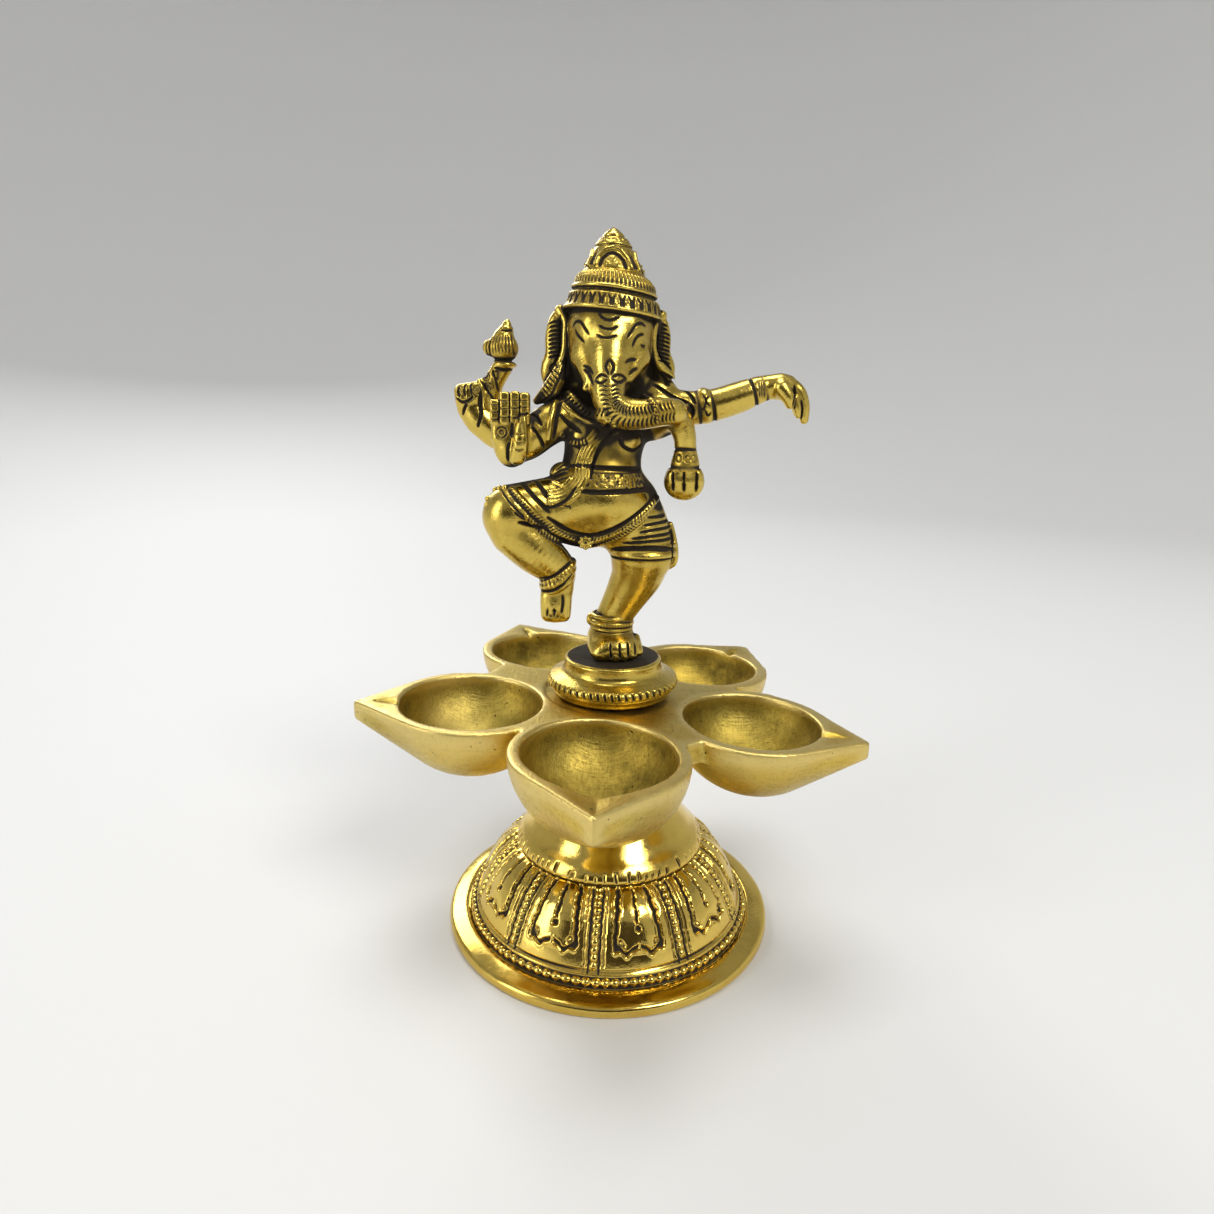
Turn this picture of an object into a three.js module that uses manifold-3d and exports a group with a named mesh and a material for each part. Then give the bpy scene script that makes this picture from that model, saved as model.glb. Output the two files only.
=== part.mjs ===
// A five-cup brass oil lamp (diya). A hollow bell foot and a turned neck carry a cast
// tray of five teardrop cups. A beaded pedestal stands on the tray's hub, and on it an
// elephant-headed, four-armed figure dances on one leg. One central stud, with a washer
// and a nut inside the bell, clamps the stack together.
//
// Millimetres, +Z up. The lamp is laid out around its stud axis, with z = 0 on the table,
// and the whole group is shifted at the end so that its box is centred on the origin.
// "Right" and "left" are the figure's own; the figure faces -Y.

import * as THREE from "three";
import { mergeVertices } from "three/addons/utils/BufferGeometryUtils.js";
import { ConvexGeometry } from "three/addons/geometries/ConvexGeometry.js";
import Module from "manifold-3d";

const wasm = await Module();
wasm.setup();

// ---- Driving dimensions ----------------------------------------------------------------

const GAP = 0.3; // clearance between pieces that touch on the real lamp
const TURN_SIDES = 40; // sides of a turned piece
const CUP_SIDES = 24; // sides of a tray cup and of its bowl
const BALL_SIDES = 10; // sides of the figure's rounded masses

// Bell foot
const FOOT_RADIUS = 37.8;
const FOOT_LAND = 4.3; // width of the flat ring that rests on the table
const BELL_TOP_RADIUS = 20.8;
const BELL_TOP_Z = 18.6;
const BELL_TOP_WALL = 2.7;

// Neck
const NECK_RING_RADIUS = 21.7;
const NECK_WAIST_RADIUS = 12.2;
const NECK_TOP_RADIUS = 13;

// Tray
const TRAY_TOP_Z = 54.7;
const HUB_BOTTOM_Z = 46.7;
const HUB_SEAT_RADIUS = 15.2;
const WEB_RADIUS = 31;
const WEB_THICKNESS = 5;
const CUP_CENTRE_RADIUS = 31.9; // from the stud axis to the middle of a cup
const CUP_OUTER_RADIUS = 17.4;
const CUP_DEPTH = 17;
const BOWL_RADIUS = 15;
const BOWL_DEPTH = 13.4;
const TIP_RADIUS = 56; // from the stud axis to a cup's pointed tip
const TIP_HEIGHT = 4.9;
const SPOUT_DEPTH = 1.5;
// The tray is cast and filed by hand, so its cups are a little out of step. Each entry is
// the direction of one cup's bowl and of its tip, in degrees from +X.
const CUP_DIRECTIONS = [
  [-93.8, -92.6],
  [-20.8, -20.6],
  [46.3, 48],
  [121.3, 119.4],
  [200.2, 196],
];
// The whole tray leans this much: rise for each millimetre along X and along Y.
const TRAY_LEAN = { x: -0.047, y: 0.0134 };

// Pedestal
const PEDESTAL_TOP_Z = 63.2;
const PEDESTAL_TOP_RADIUS = 10.6;
const PEDESTAL_FOOT_RADIUS = 14.4;
const BLIND_BORE_DEPTH = 5.2;

// Central stud, washer and nut
const STUD_RADIUS = 3;
const STUD_BOTTOM_Z = 7.5;
const THROUGH_BORE_RADIUS = STUD_RADIUS + 0.4;
const BLIND_BORE_RADIUS = STUD_RADIUS + GAP;
const WASHER_RADIUS = 6.2;
const WASHER_THICKNESS = 1.2;
const NUT_ACROSS_FLATS = 10;
const NUT_THICKNESS = 5;

// Figure
const CROWN_AXIS_X = -1.6;
const CROWN_TOP = 87.8; // above the sole of the standing foot

// ---- Materials -------------------------------------------------------------------------

const polishedBrass = new THREE.MeshStandardMaterial({
  color: 0xd9ad3c,
  roughness: 0.22,
  metalness: 1,
});
const satinBrass = new THREE.MeshStandardMaterial({
  color: 0xc9ab55,
  roughness: 0.42,
  metalness: 1,
});
const antiqueBrass = new THREE.MeshStandardMaterial({
  color: 0xb58a35,
  roughness: 0.36,
  metalness: 1,
});
const steel = new THREE.MeshStandardMaterial({
  color: 0xa8a9a6,
  roughness: 0.35,
  metalness: 1,
});

// ---- Solids ----------------------------------------------------------------------------

// A closed three.js geometry as a manifold-3d solid.
function solid(geometry) {
  geometry.deleteAttribute("normal");
  geometry.deleteAttribute("uv");
  const merged = mergeVertices(geometry, 1e-4);
  return new wasm.Manifold(
    new wasm.Mesh({
      numProp: 3,
      vertProperties: merged.attributes.position.array,
      triVerts: new Uint32Array(merged.index.array),
    }),
  );
}

// A manifold-3d solid as a named three.js mesh.
function mesh(name, body, material) {
  const { vertProperties, triVerts } = body.getMesh();
  const geometry = new THREE.BufferGeometry();
  geometry.setAttribute("position", new THREE.BufferAttribute(vertProperties, 3));
  geometry.setIndex(new THREE.BufferAttribute(triVerts, 1));
  geometry.computeVertexNormals();
  const made = new THREE.Mesh(geometry, material);
  made.name = name;
  return made;
}

// A turned piece about the Z axis. The profile's [radius, height] points run up the
// outside of the piece and come back down its bore, or start and end on the axis.
function turned(profile, sides = TURN_SIDES) {
  const points = profile.map(([radius, height]) => new THREE.Vector2(radius, height));
  return solid(new THREE.LatheGeometry(points, sides).rotateX(Math.PI / 2));
}

function closed(profile) {
  return [...profile, profile[0]];
}

// Points of a rounded mass. A mass is [x, y, z, rx, ry, rz]; ry and rz default to rx.
function massPoints([x, y, z, rx, ry = rx, rz = rx], grow) {
  const ball = new THREE.SphereGeometry(1, BALL_SIDES, BALL_SIDES / 2 + 2);
  const position = ball.getAttribute("position");
  const points = [];
  for (let i = 0; i < position.count; i++) {
    const p = new THREE.Vector3().fromBufferAttribute(position, i);
    points.push(
      new THREE.Vector3(
        x + p.x * (rx + grow),
        y + p.z * (ry + grow),
        z + p.y * (rz + grow),
      ),
    );
  }
  return points;
}

// The skin stretched over neighbouring masses of a chain, joined from end to end.
function limb(masses, grow = 0) {
  let body = null;
  for (let i = 0; i + 1 < masses.length; i++) {
    const points = [...massPoints(masses[i], grow), ...massPoints(masses[i + 1], grow)];
    const link = solid(new ConvexGeometry(points));
    body = body ? body.add(link) : link;
  }
  return body;
}

function ringPoints(cx, cy, radius, z) {
  const points = [];
  for (let i = 0; i < CUP_SIDES; i++) {
    const angle = (2 * Math.PI * i) / CUP_SIDES;
    points.push(
      new THREE.Vector3(cx + radius * Math.cos(angle), cy + radius * Math.sin(angle), z),
    );
  }
  return points;
}

// ---- Foot, neck and pedestal -----------------------------------------------------------

function bellFoot() {
  const innerTopZ = BELL_TOP_Z - BELL_TOP_WALL;
  return turned(
    closed([
      [THROUGH_BORE_RADIUS, innerTopZ],
      [20.5, innerTopZ],
      [23.6, 14],
      [25.9, 11.5],
      [27.9, 8],
      [29.3, 4],
      [FOOT_RADIUS - FOOT_LAND, 0],
      [FOOT_RADIUS - 0.2, 0],
      [FOOT_RADIUS, 1.4],
      [37, 2.4],
      [35.8, 2.1],
      [34, 2.7],
      [32.7, 2.9],
      [32.9, 3.8],
      [32.2, 4.6],
      [31.4, 5],
      [30.2, 8],
      [28.2, 12],
      [26, 15.2],
      [23.2, 17.6],
      [BELL_TOP_RADIUS, BELL_TOP_Z],
      [THROUGH_BORE_RADIUS, BELL_TOP_Z],
    ]),
  );
}

function neckStem() {
  const bottomZ = BELL_TOP_Z + GAP;
  const topZ = HUB_BOTTOM_Z - GAP;
  return turned(
    closed([
      [THROUGH_BORE_RADIUS, bottomZ],
      [NECK_RING_RADIUS - 0.3, bottomZ],
      [NECK_RING_RADIUS, bottomZ + 1.4],
      [NECK_RING_RADIUS - 0.4, bottomZ + 2.6],
      [20.4, bottomZ + 3.2],
      [18.2, 24.2],
      [15.6, 27.5],
      [13.4, 31.5],
      [NECK_WAIST_RADIUS, 36],
      [NECK_WAIST_RADIUS, 40],
      [NECK_TOP_RADIUS, 44],
      [NECK_TOP_RADIUS, topZ],
      [THROUGH_BORE_RADIUS, topZ],
    ]),
  );
}

function pedestal() {
  const bottomZ = TRAY_TOP_Z + GAP;
  const boreTopZ = bottomZ + BLIND_BORE_DEPTH;
  return turned([
    [0, boreTopZ],
    [BLIND_BORE_RADIUS, boreTopZ],
    [BLIND_BORE_RADIUS, bottomZ],
    [PEDESTAL_FOOT_RADIUS, bottomZ],
    [PEDESTAL_FOOT_RADIUS, 56.6],
    [14, 57.2],
    [PEDESTAL_FOOT_RADIUS, 57.8],
    [14, 58.7],
    [12.4, 59.2],
    [11.2, 59.9],
    [PEDESTAL_TOP_RADIUS, 61],
    [PEDESTAL_TOP_RADIUS, PEDESTAL_TOP_Z - 0.4],
    [PEDESTAL_TOP_RADIUS - 0.4, PEDESTAL_TOP_Z],
    [0, PEDESTAL_TOP_Z],
  ]);
}

// ---- Tray ------------------------------------------------------------------------------

// Tilts a solid's points by the tray's lean.
function leaned(body) {
  return body.warp((p) => {
    p[2] += TRAY_LEAN.x * p[0] + TRAY_LEAN.y * p[1];
  });
}

function polar(radius, degrees) {
  const angle = THREE.MathUtils.degToRad(degrees);
  return [radius * Math.cos(angle), radius * Math.sin(angle)];
}

// One cup's outside: a half-round bowl drawn out to an upright edge at its tip.
function cupOutside([bowlDirection, tipDirection]) {
  const [cx, cy] = polar(CUP_CENTRE_RADIUS, bowlDirection);
  const [tx, ty] = polar(TIP_RADIUS, tipDirection);
  const points = [
    new THREE.Vector3(tx, ty, TRAY_TOP_Z),
    new THREE.Vector3(tx, ty, TRAY_TOP_Z - TIP_HEIGHT),
  ];
  const upright = 3;
  points.push(...ringPoints(cx, cy, CUP_OUTER_RADIUS, TRAY_TOP_Z));
  const levels = 4;
  for (let step = 0; step <= levels; step++) {
    const angle = (step / levels) * 0.47 * Math.PI;
    const depth = upright + (CUP_DEPTH - upright) * Math.sin(angle);
    const radius = CUP_OUTER_RADIUS * Math.cos(angle);
    points.push(...ringPoints(cx, cy, radius, TRAY_TOP_Z - depth));
  }
  return solid(new ConvexGeometry(points));
}

// One cup's hollow: the bowl, and the shallow spout where the wick lies.
function cupHollow([bowlDirection, tipDirection]) {
  const [cx, cy] = polar(CUP_CENTRE_RADIUS, bowlDirection);
  const above = 2;
  const profile = [[0, TRAY_TOP_Z - BOWL_DEPTH]];
  const steps = 5;
  for (let step = 1; step <= steps; step++) {
    const angle = (step / steps) * 0.5 * Math.PI;
    profile.push([BOWL_RADIUS * Math.sin(angle), TRAY_TOP_Z - BOWL_DEPTH * Math.cos(angle)]);
  }
  profile.push([BOWL_RADIUS, TRAY_TOP_Z + above], [0, TRAY_TOP_Z + above]);
  const bowl = turned(profile, CUP_SIDES).translate([cx, cy, 0]);

  const [tx, ty] = polar(TIP_RADIUS - 3.5, tipDirection);
  const along = new THREE.Vector3(tx - cx, ty - cy, 0).normalize();
  const across = new THREE.Vector3(-along.y, along.x, 0);
  const root = new THREE.Vector3(cx, cy, TRAY_TOP_Z).addScaledVector(along, BOWL_RADIUS - 3);
  const halfWidth = 4;
  const spout = new ConvexGeometry([
    new THREE.Vector3(tx, ty, TRAY_TOP_Z),
    new THREE.Vector3(tx, ty, TRAY_TOP_Z + above),
    root.clone().setZ(TRAY_TOP_Z - SPOUT_DEPTH),
    root.clone().addScaledVector(across, halfWidth),
    root.clone().addScaledVector(across, -halfWidth),
    root.clone().addScaledVector(across, halfWidth).setZ(TRAY_TOP_Z + above),
    root.clone().addScaledVector(across, -halfWidth).setZ(TRAY_TOP_Z + above),
  ]);
  return bowl.add(solid(spout));
}

function diyaTray() {
  let body = turned([
    [0, TRAY_TOP_Z - WEB_THICKNESS],
    [WEB_RADIUS, TRAY_TOP_Z - WEB_THICKNESS],
    [WEB_RADIUS, TRAY_TOP_Z],
    [0, TRAY_TOP_Z],
  ]);
  for (const direction of CUP_DIRECTIONS) {
    body = body.add(cupOutside(direction));
  }
  for (const direction of CUP_DIRECTIONS) {
    body = body.subtract(cupHollow(direction));
  }
  body = leaned(body);
  const boss = turned([
    [0, HUB_BOTTOM_Z],
    [HUB_SEAT_RADIUS - 1.5, HUB_BOTTOM_Z],
    [HUB_SEAT_RADIUS, HUB_BOTTOM_Z + 3],
    [HUB_SEAT_RADIUS, TRAY_TOP_Z],
    [0, TRAY_TOP_Z],
  ]);
  const seatCut = turned([
    [0, TRAY_TOP_Z],
    [HUB_SEAT_RADIUS, TRAY_TOP_Z],
    [HUB_SEAT_RADIUS, TRAY_TOP_Z + 2],
    [0, TRAY_TOP_Z + 2],
  ]);
  const bore = turned([
    [0, HUB_BOTTOM_Z - 1],
    [THROUGH_BORE_RADIUS, HUB_BOTTOM_Z - 1],
    [THROUGH_BORE_RADIUS, TRAY_TOP_Z + 1],
    [0, TRAY_TOP_Z + 1],
  ]);
  return body.add(boss).subtract(seatCut).subtract(bore);
}

// ---- Stud, washer and nut --------------------------------------------------------------

function tieStud() {
  const topZ = TRAY_TOP_Z + BLIND_BORE_DEPTH;
  return turned(
    [
      [0, STUD_BOTTOM_Z],
      [STUD_RADIUS - 0.6, STUD_BOTTOM_Z],
      [STUD_RADIUS, STUD_BOTTOM_Z + 0.6],
      [STUD_RADIUS, topZ - 0.6],
      [STUD_RADIUS - 0.6, topZ],
      [0, topZ],
    ],
    24,
  );
}

function clampWasher() {
  const topZ = BELL_TOP_Z - BELL_TOP_WALL - GAP;
  const bottomZ = topZ - WASHER_THICKNESS;
  return turned(
    closed([
      [BLIND_BORE_RADIUS, bottomZ],
      [WASHER_RADIUS, bottomZ],
      [WASHER_RADIUS, topZ],
      [BLIND_BORE_RADIUS, topZ],
    ]),
    32,
  );
}

function hexNut() {
  const washerBottomZ = BELL_TOP_Z - BELL_TOP_WALL - GAP - WASHER_THICKNESS;
  const outline = new THREE.Shape();
  const cornerRadius = NUT_ACROSS_FLATS / 2 / Math.cos(Math.PI / 6);
  for (let corner = 0; corner < 6; corner++) {
    const [x, y] = polar(cornerRadius, corner * 60);
    if (corner === 0) outline.moveTo(x, y);
    else outline.lineTo(x, y);
  }
  outline.closePath();
  const hole = new THREE.Path();
  hole.absarc(0, 0, BLIND_BORE_RADIUS, 0, 2 * Math.PI, true);
  outline.holes.push(hole);
  const geometry = new THREE.ExtrudeGeometry(outline, {
    depth: NUT_THICKNESS,
    bevelEnabled: false,
    curveSegments: 24,
  });
  geometry.translate(0, 0, washerBottomZ - GAP - NUT_THICKNESS);
  return solid(geometry);
}

// ---- Figure ----------------------------------------------------------------------------
// Heights are above the sole of the standing foot. Each part is a function of how much it
// is grown all round, so that a neighbour can be cut back to leave a clear joint.

const TORSO = [
  [5.6, -0.4, 24.6, 7.6, 7, 3],
  [1.5, 0, 30.5, 10.2, 8.2, 5],
  [-3.2, -0.6, 33, 10.6, 8.6, 6],
  [-3.4, -2, 36, 10.4, 9, 8],
  [-3, 0, 43, 8.2, 6.8, 4],
  [-2.8, 0.6, 49.5, 9.8, 6.8, 3.6],
];
const STANDING_LEG = [
  [-0.8, 0, 6.6, 4.9],
  [3, 0, 14, 4.7],
  [5.4, -0.6, 20.5, 6],
  [5.4, -0.4, 25, 6.4],
];
const STANDING_FOOT = [
  [-0.6, 1.5, 4, 4.9, 4.6, 4.2],
  [0.2, -4, 2.4, 5.4, 4.2, 2.8],
];
const RAISED_LEG = [
  [-9, -1, 31.4, 7],
  [-21, -6.6, 31.8, 5.8],
  [-20.4, -7.2, 29.5, 5.4],
  [-12.3, -7, 20, 3.8],
  [-12.1, -7.4, 17, 3.5, 3.2, 3],
  [-12.1, -8, 11.8, 3.3, 2.6, 2.4],
];
const HEAD = [
  [-1.8, -0.4, 66.8, 8.4, 8.2, 9],
  [-1.8, -4.2, 61.4, 6, 5.6, 4.6],
];
const NAPE = [
  [-2, 1.6, 60.5, 9, 5.6, 5],
  [-2.4, 1.4, 55, 10, 5.6, 3],
];
const TRUNK = [
  [-1.8, -7, 62.4, 4.6],
  [-2, -10.6, 57.6, 3.5],
  [-1.2, -11.8, 53.9, 3.1],
  [1.8, -12, 52.2, 3],
  [6.6, -11.8, 52.3, 2.8],
  [10.6, -10.6, 53.3, 2.5],
];
const RIGHT_EAR = [
  [-12, 2, 71.6, 2, 1.3, 1.8],
  [-12.8, 2, 65, 2.9, 1.5, 4],
  [-14, 1.6, 57.4, 2.9, 1.5, 2.8],
];
const LEFT_EAR = [
  [9.2, 2, 70.4, 2, 1.3, 1.8],
  [9.6, 2, 64, 2.6, 1.5, 4],
  [10.6, 1.6, 59.6, 2.4, 1.5, 2.5],
];
const REAR_RIGHT_ARM = [
  [-9, 3.5, 49, 4.2],
  [-26.4, 4, 47.6, 3.7],
  [-30.4, 4, 53, 3.3],
  [-31.2, 4, 56.6, 3.4, 3, 2.4],
];
const HELD_BUD = [
  [-27.4, 4, 55.6, 2.4],
  [-24.7, 4, 62.2, 2.2],
  [-25, 4, 66.2, 3.7, 3.6, 2.6],
  [-23.5, 4, 70, 0.9],
];
const FRONT_RIGHT_ARM = [
  [-9.5, -1.5, 48.4, 4.2],
  [-19, -6, 44.9, 3.6],
  [-21.2, -7.4, 44.8, 3.4, 2.6, 3.2],
  [-21.6, -8.4, 51.4, 3.9, 1.9, 2.6],
  [-21.6, -8.6, 54.9, 3.8, 1.4, 1.2],
];
const REAR_LEFT_ARM = [
  [8, 2.6, 51.4, 4.2],
  [15, 2.4, 53.4, 4],
  [22.5, 2, 54.9, 3.6],
  [29.6, 2, 57.9, 2.9],
  [34.2, 2, 58.8, 3.2, 2.8, 2.8],
  [37.8, 1.8, 55.9, 2.1],
  [39, 1.6, 51.6, 1.1],
];
const FRONT_LEFT_ARM = [
  [8, -1.2, 50.4, 3.8],
  [12, -5.4, 50.6, 3],
  [13.4, -6.4, 46, 2.7],
  [13.8, -6.7, 42.4, 2.8],
  [13.9, -6.5, 38.7, 4.1, 2.8, 3.5],
];

function standingLeg(grow = 0) {
  const sole = new THREE.BoxGeometry(40, 40, 10).translate(0, 0, -5 - grow);
  return limb(STANDING_LEG, grow).add(limb(STANDING_FOOT, grow)).subtract(solid(sole));
}

function head(grow = 0) {
  return limb(HEAD, grow).add(limb(TRUNK, grow)).add(limb(NAPE, grow));
}

function crown() {
  return turned(
    [
      [0, 72.6],
      [9.6, 72.6],
      [10.2, 74],
      [9.8, 76],
      [8.5, 77.2],
      [8.4, 78.4],
      [7.2, 80],
      [6.1, 81.4],
      [4.5, 83.6],
      [2.9, 85.6],
      [1.2, 87.2],
      [0, CROWN_TOP],
    ],
    24,
  ).translate([CROWN_AXIS_X, 0.2, 0]);
}

// The figure's parts in order: each is cut back from the grown shape of those before it.
function figureParts() {
  const shapes = [
    ["figure_torso", (grow) => limb(TORSO, grow)],
    ["figure_standing_leg", standingLeg],
    ["figure_raised_leg", (grow) => limb(RAISED_LEG, grow)],
    ["figure_head_and_trunk", head],
    ["figure_crown", crown],
    ["figure_right_ear", (grow) => limb(RIGHT_EAR, grow)],
    ["figure_left_ear", (grow) => limb(LEFT_EAR, grow)],
    ["figure_rear_right_arm", (grow) => limb(REAR_RIGHT_ARM, grow)],
    ["figure_rear_left_arm", (grow) => limb(REAR_LEFT_ARM, grow)],
    ["figure_front_right_arm", (grow) => limb(FRONT_RIGHT_ARM, grow)],
    ["figure_front_left_arm", (grow) => limb(FRONT_LEFT_ARM, grow)],
    ["figure_held_bud", (grow) => limb(HELD_BUD, grow)],
  ];
  let before = null;
  return shapes.map(([name, shape]) => {
    let body = shape(0);
    if (before) body = largest(body.subtract(before));
    const grown = shape(GAP);
    before = before ? before.add(grown) : grown;
    return mesh(name, body, antiqueBrass);
  });
}

// The biggest body of a solid that a cut may have left in pieces.
function largest(body) {
  return body.decompose().sort((a, b) => b.volume() - a.volume())[0];
}

// ---- The lamp --------------------------------------------------------------------------

const lamp = new THREE.Group();
lamp.add(mesh("base_bell", bellFoot(), polishedBrass));
lamp.add(mesh("neck_stem", neckStem(), polishedBrass));
lamp.add(mesh("diya_tray", diyaTray(), satinBrass));
lamp.add(mesh("pedestal", pedestal(), antiqueBrass));
lamp.add(mesh("tie_stud", tieStud(), steel));
lamp.add(mesh("clamp_washer", clampWasher(), steel));
lamp.add(mesh("hex_nut", hexNut(), steel));

const figure = new THREE.Group();
figure.position.z = PEDESTAL_TOP_Z + GAP;
figure.add(...figureParts());
lamp.add(figure);

const middle = new THREE.Box3().setFromObject(lamp).getCenter(new THREE.Vector3());
lamp.position.set(-middle.x, -middle.y, 0);

export default lamp;
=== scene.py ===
# The looks of a five-cup brass oil lamp with a dancing elephant-headed figure.
#
# All shaping is done in millimetres from the lamp's stud axis, with z = 0 on the table;
# to_frame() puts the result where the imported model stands. The figure and the tray are
# sculpted as signed distances in blocks of voxels ("clay") and meshed; the turned pieces
# are fine grids whose engraving is real relief. +X is the figure's left, -Y its front.

import math
from collections import namedtuple

import bpy
import numpy as np
import openvdb
from mathutils import Matrix, Vector


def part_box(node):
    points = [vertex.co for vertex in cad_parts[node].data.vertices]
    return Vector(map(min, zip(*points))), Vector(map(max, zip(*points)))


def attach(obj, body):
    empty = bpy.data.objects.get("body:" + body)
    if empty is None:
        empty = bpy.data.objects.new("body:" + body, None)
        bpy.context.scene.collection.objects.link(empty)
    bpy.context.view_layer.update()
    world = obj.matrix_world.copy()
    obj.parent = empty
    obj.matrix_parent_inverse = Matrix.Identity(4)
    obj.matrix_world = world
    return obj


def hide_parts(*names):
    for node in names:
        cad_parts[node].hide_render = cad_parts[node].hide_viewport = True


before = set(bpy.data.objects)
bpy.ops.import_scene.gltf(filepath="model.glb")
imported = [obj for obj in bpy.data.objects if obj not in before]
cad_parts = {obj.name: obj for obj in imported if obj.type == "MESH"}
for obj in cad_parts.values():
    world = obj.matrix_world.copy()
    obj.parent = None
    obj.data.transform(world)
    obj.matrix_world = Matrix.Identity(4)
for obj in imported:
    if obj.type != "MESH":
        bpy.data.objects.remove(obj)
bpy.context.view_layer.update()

MM = 0.001
PEDESTAL_LOW, PEDESTAL_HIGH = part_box("pedestal")
TRAY_LOW, TRAY_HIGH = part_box("diya_tray")
AXIS = Vector(
    ((PEDESTAL_LOW.x + PEDESTAL_HIGH.x) / 2, (PEDESTAL_LOW.y + PEDESTAL_HIGH.y) / 2, 0)
)
PEDESTAL_TOP = PEDESTAL_HIGH.z / MM
TRAY_TOP = PEDESTAL_LOW.z / MM - 0.3


def to_frame(points):
    """Millimetres from the stud axis to metres in the frame."""
    return np.asarray(points, float) * MM + np.array(AXIS)


# ---- Materials -----------------------------------------------------------------------------


class Nodes:
    """Short calls for building a material's node tree."""

    def __init__(self, name):
        self.material = bpy.data.materials.new(name)
        self.material.use_nodes = True
        self.tree = self.material.node_tree
        self.tree.nodes.clear()
        self.output = self.tree.nodes.new("ShaderNodeOutputMaterial")
        self.shader = self.tree.nodes.new("ShaderNodeBsdfPrincipled")
        self.join(self.shader.outputs[0], self.output.inputs["Surface"])
        self.place = self.node("ShaderNodeTexCoord").outputs["Object"]

    def node(self, kind, **settings):
        made = self.tree.nodes.new(kind)
        for key, value in settings.items():
            setattr(made, key, value)
        return made

    def join(self, source, target):
        self.tree.links.new(source, target)

    def feed(self, socket, value):
        if isinstance(value, bpy.types.NodeSocket):
            self.join(value, socket)
        else:
            socket.default_value = value

    def math(self, operation, a, b=0.0, clamp=False):
        made = self.node("ShaderNodeMath", operation=operation, use_clamp=clamp)
        self.feed(made.inputs[0], a)
        self.feed(made.inputs[1], b)
        return made.outputs[0]

    def ramp(self, value, low, high, out_low=0.0, out_high=1.0, smooth=True):
        kind = "SMOOTHSTEP" if smooth else "LINEAR"
        made = self.node("ShaderNodeMapRange", interpolation_type=kind)
        made.clamp = True
        self.feed(made.inputs["Value"], value)
        made.inputs["From Min"].default_value = low
        made.inputs["From Max"].default_value = high
        made.inputs["To Min"].default_value = out_low
        made.inputs["To Max"].default_value = out_high
        return made.outputs[0]

    def mix(self, share, a, b):
        made = self.node("ShaderNodeMix", data_type="RGBA")
        self.feed(made.inputs["Factor"], share)
        self.feed(made.inputs["A"], a)
        self.feed(made.inputs["B"], b)
        return made.outputs["Result"]

    def noise(self, scale, detail=3.0, roughness=0.55, stretch=None, turn=None):
        where = self.place
        if stretch or turn:
            mapping = self.node("ShaderNodeMapping")
            self.join(self.place, mapping.inputs["Vector"])
            mapping.inputs["Scale"].default_value = stretch or (1, 1, 1)
            mapping.inputs["Rotation"].default_value = turn or (0, 0, 0)
            where = mapping.outputs[0]
        made = self.node("ShaderNodeTexNoise")
        self.join(where, made.inputs["Vector"])
        made.inputs["Scale"].default_value = scale
        made.inputs["Detail"].default_value = detail
        made.inputs["Roughness"].default_value = roughness
        return made.outputs["Fac"]

    def attribute(self, name):
        return self.node("ShaderNodeAttribute", attribute_name=name).outputs["Fac"]

    def bump(self, height, strength, distance):
        made = self.node("ShaderNodeBump")
        made.inputs["Strength"].default_value = strength
        made.inputs["Distance"].default_value = distance
        self.feed(made.inputs["Height"], height)
        self.join(made.outputs[0], self.shader.inputs["Normal"])


def rgb(red, green, blue):
    return (red, green, blue, 1.0)


# Black patina colour; on the figure it is also the colour of painted shade.
PATINA_AND_SHADE = rgb(0.022, 0.014, 0.005)


def brass(name, bright, dull, patina_and_shade_from, patina_and_shade_to, shine, dull_shine, grain=0.25):
    """Cast brass. The 'cavity' attribute is negative in recesses and positive on high
    points: black patina fills the first and rubbing brightens the second. On the figure the
    first also holds painted shade, in sheltered places and over the chest."""
    n = Nodes(name)
    cavity = n.attribute("cavity")
    blotches = n.noise(90.0, 4.0)
    speckle = n.noise(1400.0, 3.0, 0.7)
    mottle = n.noise(420.0, 4.0, 0.6)
    uneven = n.math("ADD", cavity, n.math("MULTIPLY", n.math("SUBTRACT", blotches, 0.5), 0.35))
    uneven = n.math("ADD", uneven, n.math("MULTIPLY", n.math("SUBTRACT", mottle, 0.5), 0.55))
    # The dark end of this ramp is black patina, and on the figure also painted shade from the cavity
    # attribute.
    bare_metal = n.ramp(uneven, patina_and_shade_from, patina_and_shade_to)
    worn = n.ramp(uneven, patina_and_shade_to, patina_and_shade_to + 0.5)
    metal = n.mix(n.ramp(blotches, 0.35, 0.7), dull, bright)
    metal = n.mix(worn, metal, bright)
    stained = n.mix(n.ramp(speckle, 0.56, 0.74, 0.0, 0.22), metal, PATINA_AND_SHADE)
    n.join(n.mix(bare_metal, PATINA_AND_SHADE, stained), n.shader.inputs["Base Color"])
    rough = n.ramp(bare_metal, 0.0, 1.0, 0.55, 0.0)
    rough = n.math("ADD", rough, n.ramp(blotches, 0.3, 0.75, dull_shine, shine))
    rough = n.math("SUBTRACT", rough, n.math("MULTIPLY", worn, 0.05))
    rough = n.math("ADD", rough, n.ramp(mottle, 0.40, 0.65, 0.0, 0.10))
    n.join(rough, n.shader.inputs["Roughness"])
    n.join(n.ramp(bare_metal, 0.0, 1.0, 0.25, 1.0), n.shader.inputs["Metallic"])
    relief = n.math("ADD", n.math("MULTIPLY", n.noise(700.0, 4.0, 0.6), 1.0), speckle)
    n.bump(relief, grain, 0.00012)
    return n.material


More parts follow.
